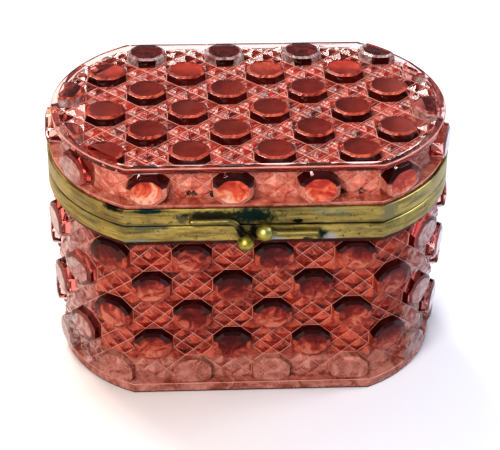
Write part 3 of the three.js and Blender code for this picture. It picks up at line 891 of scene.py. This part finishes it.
def rounded_inside(bm, plan, offset, flat, toward):
    """Levels that round the inside corner above a floor, toward 1, or under a ceiling, toward -1."""
    levels = []
    for i in range(ROUND_STEPS + 1):
        angle = i / ROUND_STEPS * math.pi / 2
        levels.append(plain_level(bm, plan, offset - ROUNDING * (1 - math.cos(angle)),
                                  flat + toward * ROUNDING * (1 - math.sin(angle))))
    return levels


print("inside corners are rounded in", ROUND_STEPS, "steps")


# %% Cut walls, foot, neck and inside
def glass_body():
    """The glass box as one closed mesh."""
    bm = wall_sheet(BODY_ROWS, ROW_PITCH, wall_button, 0, WALL_PLAN, GROOVE_DEPTH, FIRST_ROW,
                    lean=BODY_DRAFT, cut_low=CELLS_START)
    for face in bm.faces:
        middle = face.calc_center_median()
        if middle.z < FIRST_ROW + ROW_PITCH and face.material_index != LINE:
            face.material_index = FOOT if abs(middle.x) < END_START else PALE
    low, high = open_chains(bm)
    foot = [plain_level(bm, FOOT_PLAN, offset, z) for offset, z in (
        (-FOOT_BEVEL, 0), (-BEVEL_IN, BEVEL_UP), (BODY_DRAFT * FOOT_BEVEL, FOOT_BEVEL),
        (BODY_DRAFT * FOOT_HEIGHT, FOOT_HEIGHT - FOOT_SOFT),
        (BODY_DRAFT * FOOT_HEIGHT - FOOT_SOFT, FOOT_HEIGHT))]
    cap_level(bm, foot[0])
    join_levels(bm, foot[:3])
    join_levels(bm, foot[2:4], FOOT)
    join_levels(bm, foot[3:], LINE)
    zip_chains(bm, foot[-1], low, FOOT)
    neck = [plain_level(bm, LID_PLAN, offset, z) for offset, z in (
        (NECK_OFFSET, NECK_FOOT), (NECK_OFFSET, BODY_TOP), (NECK_INNER, BODY_TOP), (NECK_INNER, NECK_FOOT))]
    zip_chains(bm, high, neck[0])
    join_levels(bm, neck[:3])
    inside_top = ROWS_TOP - ROW_PITCH / 2
    inside = [neck[3], plain_level(bm, WALL_PLAN, BODY_DRAFT * inside_top + WALL_INSIDE, inside_top)]
    floor_offset = BODY_DRAFT * (FLOOR_TOP + ROUNDING) + WALL_INSIDE
    inside += rounded_inside(bm, WALL_PLAN, floor_offset, FLOOR_TOP, 1)
    join_levels(bm, [neck[2]] + inside, STAIN)
    cap_level(bm, inside[-1], STAIN)
    return finish_mesh(bm, "body_glass", BODY_MATERIALS, SHARP_GLASS)


body_glass = glass_body()
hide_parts("glass_body")
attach(body_glass, "casket")

# %% [markdown]
# ## The glass lid
# The lid is a second piece of glass. Its wall has one row of cells, and its top is a flat sheet of
# the same cells. The top could be bent down into the wall, but the real one is cut flat and ends in
# a plain margin, so the sheet is cut to the outline a little inside the edge, and a short upright
# wall brings its ragged border up to the margin.

# %% Sizes of the lid
BAND_TOP = BAND_BOTTOM + BAND_HEIGHT
BAND_DEPTH = GROOVE_DEPTH - 0.15 * MM
LID_BOTTOM = 74.05 * MM
LID_EDGE = BAND_TOP + 2.2 * MM
LID_GROOVE = LID_EDGE - 1.4 * MM
LID_MARGIN = 2.5 * MM
LID_CEILING = LID_GROOVE - 5.2 * MM
LID_ROWS = 6
EDGE_ROUND = 0.35 * MM
LEDGE_BOTTOM, LEDGE_TOP = 79.4 * MM, 80.4 * MM
LEDGE_OFFSET = 0.9 * MM
LEDGE_SOFT = 0.2 * MM
ABOVE_LEDGE = 0.3 * MM
MARGIN_FOOT = 0.3 * MM
BELOW_BAND = 0.6 * MM
BACK_START, TOP_END_START = 29 * MM, 55 * MM
CROWN_FACING = 0.1
SAME_HEIGHT = 1e-7
print("the lid is", round((LID_EDGE - LID_BOTTOM) / MM, 2), "mm high")


# %% The cut top
def top_slot(face):
    """The slot of a facet of the top, by the way it faces and by its place.
    Crowns that don't face the front, and ground facets that do, get the darker glass as painted shade.
    """
    slot = face.material_index
    middle = face.calc_center_median()
    at_back = middle.y > BACK_START
    if slot == CROWN_FACE:
        return PALE if at_back else GROUND if face.normal.y < -CROWN_FACING else SHADED_FACET
    if slot in (GROUND, SIDE) and (at_back or abs(middle.x) > TOP_END_START):
        return PALE if slot == SIDE else CLEAR
    if slot == GROUND and face.normal.y < -FACING:
        return SHADED_FACET
    return slot


def lid_top(bm):
    """The cut top as a flat sheet, added to the mesh. Gives its border as a chain of places."""
    width = 2 * LID_PLAN["front"] / FRONT_COLUMNS
    height = 2 * (LID_PLAN["depth"] - LID_MARGIN) / LID_ROWS
    columns = 2 * math.ceil((LID_PLAN["centre"] + offset_plan(LID_PLAN, -LID_MARGIN)["radius"]) / width)
    top = flat_sheet(columns, LID_ROWS, width, height, lid_button, 0)
    for vert in top.verts:
        vert.co += Vector((-columns * width / 2, -LID_ROWS * height / 2, LID_GROOVE))
    cut_sheet(top, (0, 0, LID_EDGE), (0, 0, 1), clear=False)
    border = [around(LID_PLAN, -LID_MARGIN, place) for place in level_places()]
    for start, end in zip(border, border[1:] + border[:1]):
        along = (end - start).normalized()
        cut_sheet(top, (start.x, start.y, 0), (along.y, -along.x, 0))
    for face in top.faces:
        face.material_index = top_slot(face)
    places = top.verts.layers.float.new("place")
    for vert in top.verts:
        vert[places] = place_of(LID_PLAN, -LID_MARGIN, vert.co)
    mesh = bpy.data.meshes.new("top")
    top.to_mesh(mesh)
    top.free()
    before = set(bm.verts)
    bm.from_mesh(mesh)
    bpy.data.meshes.remove(mesh)
    places = bm.verts.layers.float["place"]
    edge = [vert for vert in bm.verts if vert not in before and vert.is_boundary]
    return sorted(((vert[places], vert) for vert in edge), key=lambda pair: pair[0])


print("the cut top ends", round(LID_MARGIN / MM, 2), "mm inside the edge")


# %% From the cut top to its margin
def raise_border(bm, border):
    """A short upright wall from the border of the top to the level of the edge, as a new chain."""
    places = bm.verts.layers.float["place"]
    lip = []
    for place, vert in border:
        rim_vert = vert
        if abs(vert.co.z - LID_EDGE) > SAME_HEIGHT:
            rim_vert = bm.verts.new((vert.co.x, vert.co.y, LID_EDGE))
            rim_vert[places] = place
        lip.append((place, rim_vert))
    for i in range(len(border)):
        after = (i + 1) % len(border)
        corners = [border[i][1], border[after][1], lip[after][1], lip[i][1]]
        corners = [vert for k, vert in enumerate(corners) if vert not in corners[:k]]
        if len(corners) > 2:
            bm.faces.new(corners)
    return lip


print("the top lies", round((LID_EDGE - LID_GROOVE) / MM, 2), "mm deep at its grooves")


# %% Band, margin, top and inside of the lid
def glass_lid():
    """The lid as one closed mesh."""
    bm = wall_sheet(1, BAND_HEIGHT, band_button, BODY_ROWS, LID_PLAN, BAND_DEPTH, BAND_BOTTOM,
                    cut_low=LEDGE_TOP + ABOVE_LEDGE)
    for face in bm.faces:
        if face.material_index in (GROUND, SHADED_FACET):
            face.material_index = FOOT
    low, high = open_chains(bm)
    neck = [plain_level(bm, LID_PLAN, offset, z) for offset, z in (
        (NECK_INNER, LID_BOTTOM), (NECK_OFFSET, LID_BOTTOM), (NECK_OFFSET, LEDGE_BOTTOM),
        (LEDGE_OFFSET - LEDGE_SOFT, LEDGE_BOTTOM), (LEDGE_OFFSET, LEDGE_BOTTOM + LEDGE_SOFT),
        (LEDGE_OFFSET, LEDGE_TOP - LEDGE_SOFT), (LEDGE_OFFSET - LEDGE_SOFT, LEDGE_TOP))]
    join_levels(bm, neck[:6], FOOT)
    join_levels(bm, neck[5:], LINE)
    zip_chains(bm, neck[-1], low, FOOT)
    margin = [plain_level(bm, LID_PLAN, offset, z) for offset, z in (
        (0, BAND_TOP + MARGIN_FOOT), (0, LID_EDGE - EDGE_ROUND), (-EDGE_ROUND, LID_EDGE))]
    zip_chains(bm, high, margin[0])
    join_levels(bm, margin[:2])
    join_levels(bm, margin[1:], LINE)
    zip_chains(bm, margin[-1], raise_border(bm, lid_top(bm)))
    inside = [neck[0], plain_level(bm, LID_PLAN, NECK_INNER, BAND_BOTTOM - BELOW_BAND),
              plain_level(bm, LID_PLAN, WALL_INSIDE, BAND_BOTTOM + ROUNDING)]
    inside += rounded_inside(bm, LID_PLAN, WALL_INSIDE, LID_CEILING, -1)
    join_levels(bm, inside, STAIN)
    cap_level(bm, inside[-1], STAIN)
    return finish_mesh(bm, "lid_glass", LID_MATERIALS, SHARP_GLASS)


lid_glass = glass_lid()
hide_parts("glass_lid")
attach(lid_glass, "lid")

# %% [markdown]
# ## Old brass
# The brass is thin sheet, brushed along its length and never polished since. It is yellow where
# hands rub it, brown and grey elsewhere, and nearly black where dirt or solder flux was left. One
# noise could make all of this, but it would put the marks anywhere. So stretched noise gives the
# brushing, clouds and specks give the patina, and a few round masks put the dark patches where they
# are on the real rims. One of these masks is painted shade, along the upper arm of the clasp.

# %% Brass with patina and patches
DULL = [(0.32, (0.11, 0.080, 0.030)), (0.45, (0.24, 0.195, 0.070)), (0.57, (0.40, 0.320, 0.110)),
        (0.70, (0.19, 0.165, 0.080))]
CLOUDED = (0.13, 0.105, 0.055)
GREEN_FILM = (0.20, 0.235, 0.17)
SPECK = (0.035, 0.04, 0.03)


def old_brass(name, stops, spots=(), dirt=0.5):
    """Brushed brass. Each spot is a centre, a size and a colour, in millimetres."""
    material, tree, shader = new_material(name)
    shader.inputs["Metallic"].default_value = 0.92
    streaks = noise_of(tree, 60, 6, 0.65, stretch=(1, 1, 9))
    colour = ramp_of(tree, streaks, stops)
    clouds = range_of(tree, noise_of(tree, 65, 6, 0.7), 0.46, 0.64, 0, dirt)
    colour = blend(tree, clouds, colour, CLOUDED)
    green = range_of(tree, noise_of(tree, 75, 4, stretch=(1, 1.2, 2)), 0.56, 0.72, 0, 0.55)
    colour = blend(tree, green, colour, GREEN_FILM)
    specks = range_of(tree, noise_of(tree, 800, 3), 0.62, 0.70, 0, 0.7)
    colour = blend(tree, specks, colour, SPECK)
    rough = range_of(tree, streaks, 0.3, 0.7, 0.32, 0.52)
    for centre, size, tone in spots:
        mask = spot(tree, centre, size)
        colour = blend(tree, mask, colour, tone)
        rough = sum_of(tree, "ADD", rough, sum_of(tree, "MULTIPLY", mask, 0.25))
    tree.links.new(colour, shader.inputs["Base Color"])
    tree.links.new(rough, shader.inputs["Roughness"])
    brushing = noise_of(tree, 500, 3, stretch=(0.12, 0.12, 4))
    grain = sum_of(tree, "ADD", brushing, noise_of(tree, 1400, 2))
    bump_of(tree, shader, grain, 0.45, 0.06 * MM)
    return material


hinge_brass = old_brass("hinge_brass", DULL, dirt=0.8)
print("made", hinge_brass.name)

# %% Brass of the two rims, with its dark patches and painted shade along the clasp arm
TEAL = (0.012, 0.035, 0.030)
BLACK = (0.012, 0.012, 0.010)
GREY = (0.34, 0.34, 0.33)
BROWN = (0.13, 0.12, 0.07)
RUBBED = (0.24, 0.21, 0.12)
SHADE = (0.05, 0.05, 0.03)
upper_brass = old_brass("upper_rim_brass", DULL, [
    ((-1, -46.7, 76.4), (9.0, 3, 3.2), TEAL), ((14.3, -46.7, 74.1), (2.2, 3, 0.9), BLACK),
    ((-34.5, -46.7, 78.7), (5.5, 3, 1.0), TEAL), ((-46.5, -44.5, 78.9), (4.0, 4, 1.5), BLACK),
    ((-23.8, -46.7, 75.6), (2.6, 3, 1.9), BROWN), ((44.5, -46, 76.5), (3.6, 4, 3.5), RUBBED),
    # The last spot is painted shade along the upper arm of the clasp.
    ((-14, -46.7, 76.8), (10.5, 2, 1.7), SHADE)])
lower_brass = old_brass("lower_rim_brass", DULL, [
    ((22.3, -46.7, 68.6), (2.3, 3, 1.9), TEAL), ((25.2, -46.7, 67.6), (2.6, 3, 1.7), GREY),
    ((-38.5, -46.7, 67.0), (4.5, 3, 1.1), (0.20, 0.24, 0.19)), ((6.5, -46.7, 67.2), (4.2, 3, 1.2), GREY),
    ((0, -46.7, 70.0), (2.6, 3, 3.4), BLACK), ((17.5, -46.7, 67.0), (1.6, 3, 0.9), TEAL),
    ((-35, -46.7, 72.3), (9, 3, 0.7), (0.10, 0.12, 0.09))])
print("brass of the rims:", upper_brass.name, lower_brass.name)

# %% [markdown]
# ## The rims
# Each rim is a bent channel of thin sheet. It has an outer wall, a web over the edge of the glass and
# a lining on the inside. A curve with a bevel profile could make it, but the rim has to follow the
# outline of the glass to the point. So each corner of its profile is a plain level on that outline,
# and the corners are doubled, because bent sheet is never quite sharp.

# %% Two rims from one profile
LOWER_TOP, UPPER_BOTTOM = 72.5 * MM, 72.9 * MM
LOWER_HEIGHT, UPPER_HEIGHT = 5.7 * MM, 6.3 * MM
RIM_OUTER, RIM_INNER, RIM_WALL, RIM_WEB = 1.8 * MM, -6.6 * MM, 0.9 * MM, 0.8 * MM
RIM_LINING = 3.5 * MM
SOFT = 0.22 * MM
SHARP_SHEET = 25


def brass_rim(name, joint, away, height, material):
    """A closed ring with a channel profile. Heights are measured from the joint."""
    outer, inner, outer_wall = RIM_OUTER, RIM_INNER, RIM_OUTER - RIM_WALL
    profile = [
        (outer - SOFT, height), (outer, height - SOFT), (outer, 2.2 * SOFT), (outer - 0.4 * SOFT, SOFT),
        (outer - 1.4 * SOFT, 0), (inner + SOFT, 0), (inner, SOFT), (inner, RIM_LINING - SOFT),
        (inner + SOFT, RIM_LINING), (inner + RIM_WEB, RIM_LINING), (inner + RIM_WEB, RIM_WEB),
        (outer_wall, RIM_WEB), (outer_wall, height)]
    bm = bmesh.new()
    levels = [plain_level(bm, LID_PLAN, offset, joint + away * up) for offset, up in profile]
    join_levels(bm, levels + levels[:1])
    return finish_mesh(bm, name, [material], SHARP_SHEET)


lower_rim = brass_rim("lower_brass_rim", LOWER_TOP, -1, LOWER_HEIGHT, lower_brass)
upper_rim = brass_rim("upper_brass_rim", UPPER_BOTTOM, 1, UPPER_HEIGHT, upper_brass)
for piece, node, body in ((lower_rim, "lower_rim", "casket"), (upper_rim, "upper_rim", "lid")):
    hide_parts(node)
    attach(piece, body)

# %% [markdown]
# ## The wires of the clasp
# Two wires are soldered to the rims, one on each, and each is bent at its end toward a ball. A wire
# could be extruded by hand round its bends, but it follows a path. So a Geometry Nodes tree smooths a
# line of a few points and turns it into a round bar, as thick as each point says. The real wires
# thin out toward their outer tips.

# %% The tree for the wires
def wire_tree():
    """Smooths a line of points and gives it the thickness that its points carry."""
    tree = bpy.data.node_groups.new("wire", "GeometryNodeTree")
    tree.interface.new_socket(name="Line", in_out="INPUT", socket_type="NodeSocketGeometry")
    for name, kind in (("Sides", "Int"), ("Steps", "Int"), ("Brass", "Material")):
        tree.interface.new_socket(name=name, in_out="INPUT", socket_type="NodeSocket" + kind)
    tree.interface.new_socket(name="Wire", in_out="OUTPUT", socket_type="NodeSocketGeometry")
    given = tree.nodes.new("NodeGroupInput").outputs
    line = add_node(tree, "GeometryNodeMeshToCurve", {"Mesh": given["Line"]}).outputs[0]
    soft = add_node(tree, "GeometryNodeCurveSplineType", {"Curve": line}, spline_type="CATMULL_ROM")
    thick = add_node(tree, "GeometryNodeInputNamedAttribute", {"Name": "thickness"}, data_type="FLOAT")
    sized = add_node(tree, "GeometryNodeSetCurveRadius", {
        "Curve": soft.outputs[0], "Radius": thick.outputs[0]})
    even = add_node(tree, "GeometryNodeResampleCurve", {
        "Curve": sized.outputs[0], "Count": given["Steps"]})
    ring = add_node(tree, "GeometryNodeCurvePrimitiveCircle", {"Resolution": given["Sides"], "Radius": 1.0})
    radius = add_node(tree, "GeometryNodeInputRadius")
    solid = add_node(tree, "GeometryNodeCurveToMesh", {
        "Curve": even.outputs[0], "Profile Curve": ring.outputs[0], "Scale": radius.outputs[0],
        "Fill Caps": True})
    real = add_node(tree, "GeometryNodeRealizeInstances", {0: solid.outputs[0]})
    dressed = add_node(tree, "GeometryNodeSetMaterial", {
        "Geometry": real.outputs[0], "Material": given["Brass"]})
    result = tree.nodes.new("NodeGroupOutput")
    tree.links.new(dressed.outputs[0], result.inputs[0])
    return tree


WIRE = wire_tree()
print("tree for the wires has", len(WIRE.nodes), "nodes")

# %% [markdown]
# ## The brass of the clasp
# The arms are as dull as the rims, but every opening rubs the balls, so they are brighter. One
# material with a mask could do both, but two material slots on one mesh are easier to read.

# %% Dull arms and bright balls
arm_brass = old_brass("clasp_arm_brass", [
    (0.30, (0.08, 0.065, 0.025)), (0.45, (0.17, 0.145, 0.050)), (0.6, (0.29, 0.245, 0.08)),
    (0.75, (0.11, 0.095, 0.045))],
    [((22.4, -48.2, 70.2), (2.1, 3, 2), TEAL), ((-4.8, -48.8, 71), (1.8, 3, 4.0), BLACK)], dirt=0.8)
ball_brass = old_brass("clasp_ball_brass", [
    (0.30, (0.14, 0.13, 0.025)), (0.45, (0.32, 0.28, 0.06)), (0.6, (0.44, 0.38, 0.09)),
    (0.75, (0.18, 0.16, 0.045))], dirt=0.6)
print("brass of the clasp:", arm_brass.name, ball_brass.name)

# %% [markdown]
# ## The arms with their balls
# One arm hangs down from the upper rim and the other lies along the lower one. The balls snap past
# each other when the lid is closed. Both arms could be drawn as they are, but they are one shape:
# a side of 1 or -1 turns it to the right or to the left, and its heights come from the rims.

# %% Two arms from one path
BALL = 2.9 * MM
ARM = 1.1 * MM
ARM_Y, BALL_Y = -48.15 * MM, -49.95 * MM
BALL_X = 3.05 * MM
TIP_LENGTH, TAPER_LENGTH, STRAIGHT_START = 0.15 * MM, 1.1 * MM, 3 * MM
WIRE_SIDES, WIRE_STEPS = 16, 72
BALL_SEGMENTS, BALL_RINGS = 36, 18
SHARP_WIRE = 35


def clasp_arm(name, side, arm_z, ball_z, reach, tip):
    """One half of the clasp, lying on its rim and bent out to its ball."""
    ball_x = side * BALL_X
    bend = ball_x + side * 2 * ARM
    mid_y, mid_z = (ARM_Y + BALL_Y) / 2, (arm_z + ball_z) / 2
    start = ball_x + side * reach
    path = [(start, ARM_Y, arm_z, tip * 0.5), (start - side * TIP_LENGTH, ARM_Y, arm_z, tip),
            (start - side * TAPER_LENGTH, ARM_Y, arm_z, ARM),
            (start - side * STRAIGHT_START, ARM_Y, arm_z, ARM),
            (bend + side * 5 * ARM, ARM_Y, arm_z, ARM), (bend + side * 3 * ARM, ARM_Y, arm_z, ARM),
            (bend + side * ARM, ARM_Y, arm_z + (mid_z - arm_z) * 0.3, ARM),
            (bend - side * 0.6 * ARM, mid_y, mid_z, ARM), (ball_x, BALL_Y, ball_z, 0.8 * ARM)]
    line = bpy.data.meshes.new("line")
    line.from_pydata([point[:3] for point in path], [(i, i + 1) for i in range(len(path) - 1)], [])
    thickness = line.attributes.new("thickness", "FLOAT", "POINT")
    thickness.data.foreach_set("value", [point[3] for point in path])
    wire = made_by(WIRE, {"Sides": WIRE_SIDES, "Steps": WIRE_STEPS, "Brass": arm_brass}, line)
    bm = bmesh.new()
    bm.from_mesh(wire)
    bpy.data.meshes.remove(wire)
    ball = bmesh.ops.create_uvsphere(bm, u_segments=BALL_SEGMENTS, v_segments=BALL_RINGS, radius=BALL,
                                     matrix=Matrix.Translation((ball_x, BALL_Y, ball_z)))
    for face in {face for vert in ball["verts"] for face in vert.link_faces}:
        face.material_index = 1
    return finish_mesh(bm, name, [arm_brass, ball_brass], SHARP_WIRE)


JOINT = 72.7 * MM
FROM_JOINT = 2.45 * MM
UPPER_REACH, LOWER_REACH = 18.6 * MM, 19.4 * MM
UPPER_BALL, LOWER_BALL = JOINT - 4.8 * MM, JOINT - 0.9 * MM
upper_arm = clasp_arm("upper_clasp_arm", -1, JOINT + FROM_JOINT, UPPER_BALL, UPPER_REACH, 0.7 * ARM)
lower_arm = clasp_arm("lower_clasp_arm", 1, JOINT - FROM_JOINT, LOWER_BALL, LOWER_REACH, 0.45 * ARM)
for piece, node, body in ((upper_arm, "clasp_upper_arm", "lid"), (lower_arm, "clasp_lower_arm", "casket")):
    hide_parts(node)
    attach(piece, body)

# %% [markdown]
# ## The hinge
# The photo doesn't show the back, so this is a plain strap hinge, as on other caskets of this kind:
# two leaves behind the rims, three knuckles rolled from them, and one pin. A Screw modifier could
# turn the knuckles and the pin, but they are only a few rings on one line, so the rings are placed
# directly and joined like the plain levels.

# %% Sizes of the hinge
HINGE_Y = 49.25 * MM
KNUCKLE, PIN, PIN_ROOM = 2.2 * MM, 0.8 * MM, 0.08 * MM
LEAF_Y = 47.05 * MM
LEAF = 0.9 * MM
LEAF_CLEAR, LEAF_SHORT = 0.5 * MM, 0.3 * MM
EDGE_BREAK = 0.15 * MM
HINGE_HALF = 17 * MM
KNUCKLE_GAP = 0.175 * MM
PIN_PROUD, PIN_TAPER = 0.35 * MM, 0.25 * MM
HINGE_STEPS = 40
SHARP_HINGE = 30
print("the hinge is", round(2 * HINGE_HALF / MM), "mm long")


# %% Turned pieces, plates and leaves
def add_turned(bm, stations):
    """A turned piece along the hinge line, from pairs of a place and a radius, closed on itself."""
    rings = []
    for x, radius in stations:
        turn = [2 * math.pi * i / HINGE_STEPS for i in range(HINGE_STEPS)]
        rings.append([(a, bm.verts.new((x, HINGE_Y + radius * math.cos(a), JOINT + radius * math.sin(a))))
                      for a in turn])
    join_levels(bm, rings)
    return rings


def add_plate(bm, x0, x1, z0, z1):
    """A bevelled part of a leaf."""
    made = bmesh.ops.create_cube(bm, size=1)["verts"]
    for vert in made:
        vert.co = Vector(((x0 + x1) / 2 + vert.co.x * (x1 - x0), LEAF_Y + LEAF / 2 + vert.co.y * LEAF,
                          (z0 + z1) / 2 + vert.co.z * (z1 - z0)))
    edges = [edge for edge in bm.edges if edge.verts[0] in made]
    bmesh.ops.bevel(bm, geom=edges, offset=EDGE_BREAK, segments=2, profile=0.5, affect="EDGES")


def hinge_leaf(name, direction, rim_height, spans):
    """A leaf with its knuckles."""
    bm = bmesh.new()
    near = JOINT + direction * (KNUCKLE + LEAF_CLEAR)
    far = JOINT + direction * (rim_height - LEAF_SHORT)
    add_plate(bm, -HINGE_HALF, HINGE_HALF, min(near, far), max(near, far))
    reach, inner = (near + far) / 2, PIN + PIN_ROOM
    for x0, x1 in spans:
        add_plate(bm, x0, x1, min(JOINT, reach), max(JOINT, reach))
        rings = add_turned(bm, [(x0, inner), (x0, KNUCKLE - EDGE_BREAK), (x0 + EDGE_BREAK, KNUCKLE),
                                (x1 - EDGE_BREAK, KNUCKLE), (x1, KNUCKLE - EDGE_BREAK), (x1, inner)])
        join_levels(bm, [rings[-1], rings[0]])
    return finish_mesh(bm, name, [hinge_brass], SHARP_HINGE)


third = HINGE_HALF / 3
lower_leaf = hinge_leaf("lower_hinge_leaf", -1, LOWER_HEIGHT, [
    (-HINGE_HALF, -third - KNUCKLE_GAP), (third + KNUCKLE_GAP, HINGE_HALF)])
upper_leaf = hinge_leaf("upper_hinge_leaf", 1, UPPER_HEIGHT, [(KNUCKLE_GAP - third, third - KNUCKLE_GAP)])

# %% The pin, and the hinge handed over
pin_mesh = bmesh.new()
pin_end = HINGE_HALF + PIN_PROUD
ends = add_turned(pin_mesh, [(-pin_end, 0.5 * PIN), (PIN_TAPER - pin_end, PIN), (pin_end - PIN_TAPER, PIN),
                             (pin_end, 0.5 * PIN)])
cap_level(pin_mesh, ends[0])
cap_level(pin_mesh, ends[-1])
hinge_pin = finish_mesh(pin_mesh, "brass_hinge_pin", [hinge_brass], SHARP_HINGE)
for piece, node, body in ((lower_leaf, "hinge_lower_leaf", "casket"), (hinge_pin, "hinge_pin", "casket"),
                          (upper_leaf, "hinge_upper_leaf", "lid")):
    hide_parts(node)
    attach(piece, body)

# %% [markdown]
# ## The table
# The casket stands on pale paper, with warm light painted on the left and cool shade painted on the
# right. A curved studio sweep would hide the horizon, but the camera looks down and sees only the
# floor, so one flat face is enough.

# %% A flat sheet of paper
FLOOR_REACH = 3.0
FLOOR_GAP = 0.1 * MM
WARM_LIT_PAPER, COOL_SHADED_PAPER = (0.64, 0.545, 0.48), (0.60, 0.615, 0.69)
floor_mesh = bpy.data.meshes.new("floor")
corners = [(x * FLOOR_REACH, y * FLOOR_REACH, -FLOOR_GAP) for x, y in ((-1, -1), (1, -1), (1, 1), (-1, 1))]
floor_mesh.from_pydata(corners, [], [(0, 1, 2, 3)])
floor = bpy.data.objects.new("floor", floor_mesh)
bpy.context.collection.objects.link(floor)
paper, paper_tree, paper_shader = new_material("floor_paper")
uneven = sum_of(paper_tree, "MULTIPLY", noise_of(paper_tree, 9, 3), 0.1)
across = sum_of(paper_tree, "ADD", along_axis(paper_tree, "X"), uneven)
# The paper's colour is painted warm light on the left and cool shade on the right.
painted_light_tint = blend(paper_tree, range_of(paper_tree, across, -0.1, 0.18, 0, 1), WARM_LIT_PAPER, COOL_SHADED_PAPER)
paper_tree.links.new(painted_light_tint, paper_shader.inputs["Base Color"])
paper_shader.inputs["Roughness"].default_value = 0.85
floor_mesh.materials.append(paper)
print("the floor is", 2 * FLOOR_REACH, "m wide")

# %% [markdown]
# ## The light
# The photo has soft light from above and behind, and the side that faces the camera is darker. A sky
# alone would be too even, and small lamps would give hard glints. So three large square lights are
# set round the casket, the strongest one behind, over a weak pale world. The picture is then shown
# without a film look, only with more contrast, because the photo's white is plain white.

# %% Three lights and the world
def area_light(name, place, target, size, power, colour):
    """A soft square light that points at a target."""
    data = bpy.data.lights.new(name, "AREA")
    data.size = size
    data.energy = power
    data.color = colour
    light = bpy.data.objects.new(name, data)
    light.location = place
    light.rotation_euler = (Vector(target) - Vector(place)).to_track_quat("-Z", "Y").to_euler()
    bpy.context.collection.objects.link(light)


area_light("back_light", (-0.4, 0.75, 1.15), (0, 0, 0.03), 0.6, 16, (1.0, 0.97, 0.93))
area_light("right_light", (1.0, 0.1, 0.8), (0, 0, 0.05), 0.5, 8, (0.8, 0.9, 1.0))
area_light("front_light", (-0.45, -0.95, 0.75), (0, 0, 0.05), 0.6, 15, (1.0, 0.94, 0.88))
world = bpy.data.worlds.new("studio")
world.use_nodes = True
backdrop = world.node_tree.nodes["Background"]
backdrop.inputs["Color"].default_value = (0.93, 0.96, 1.0, 1)
backdrop.inputs["Strength"].default_value = 0.4
bpy.context.scene.world = world
bpy.context.scene.view_settings.view_transform = "Standard"
bpy.context.scene.view_settings.look = "High Contrast"
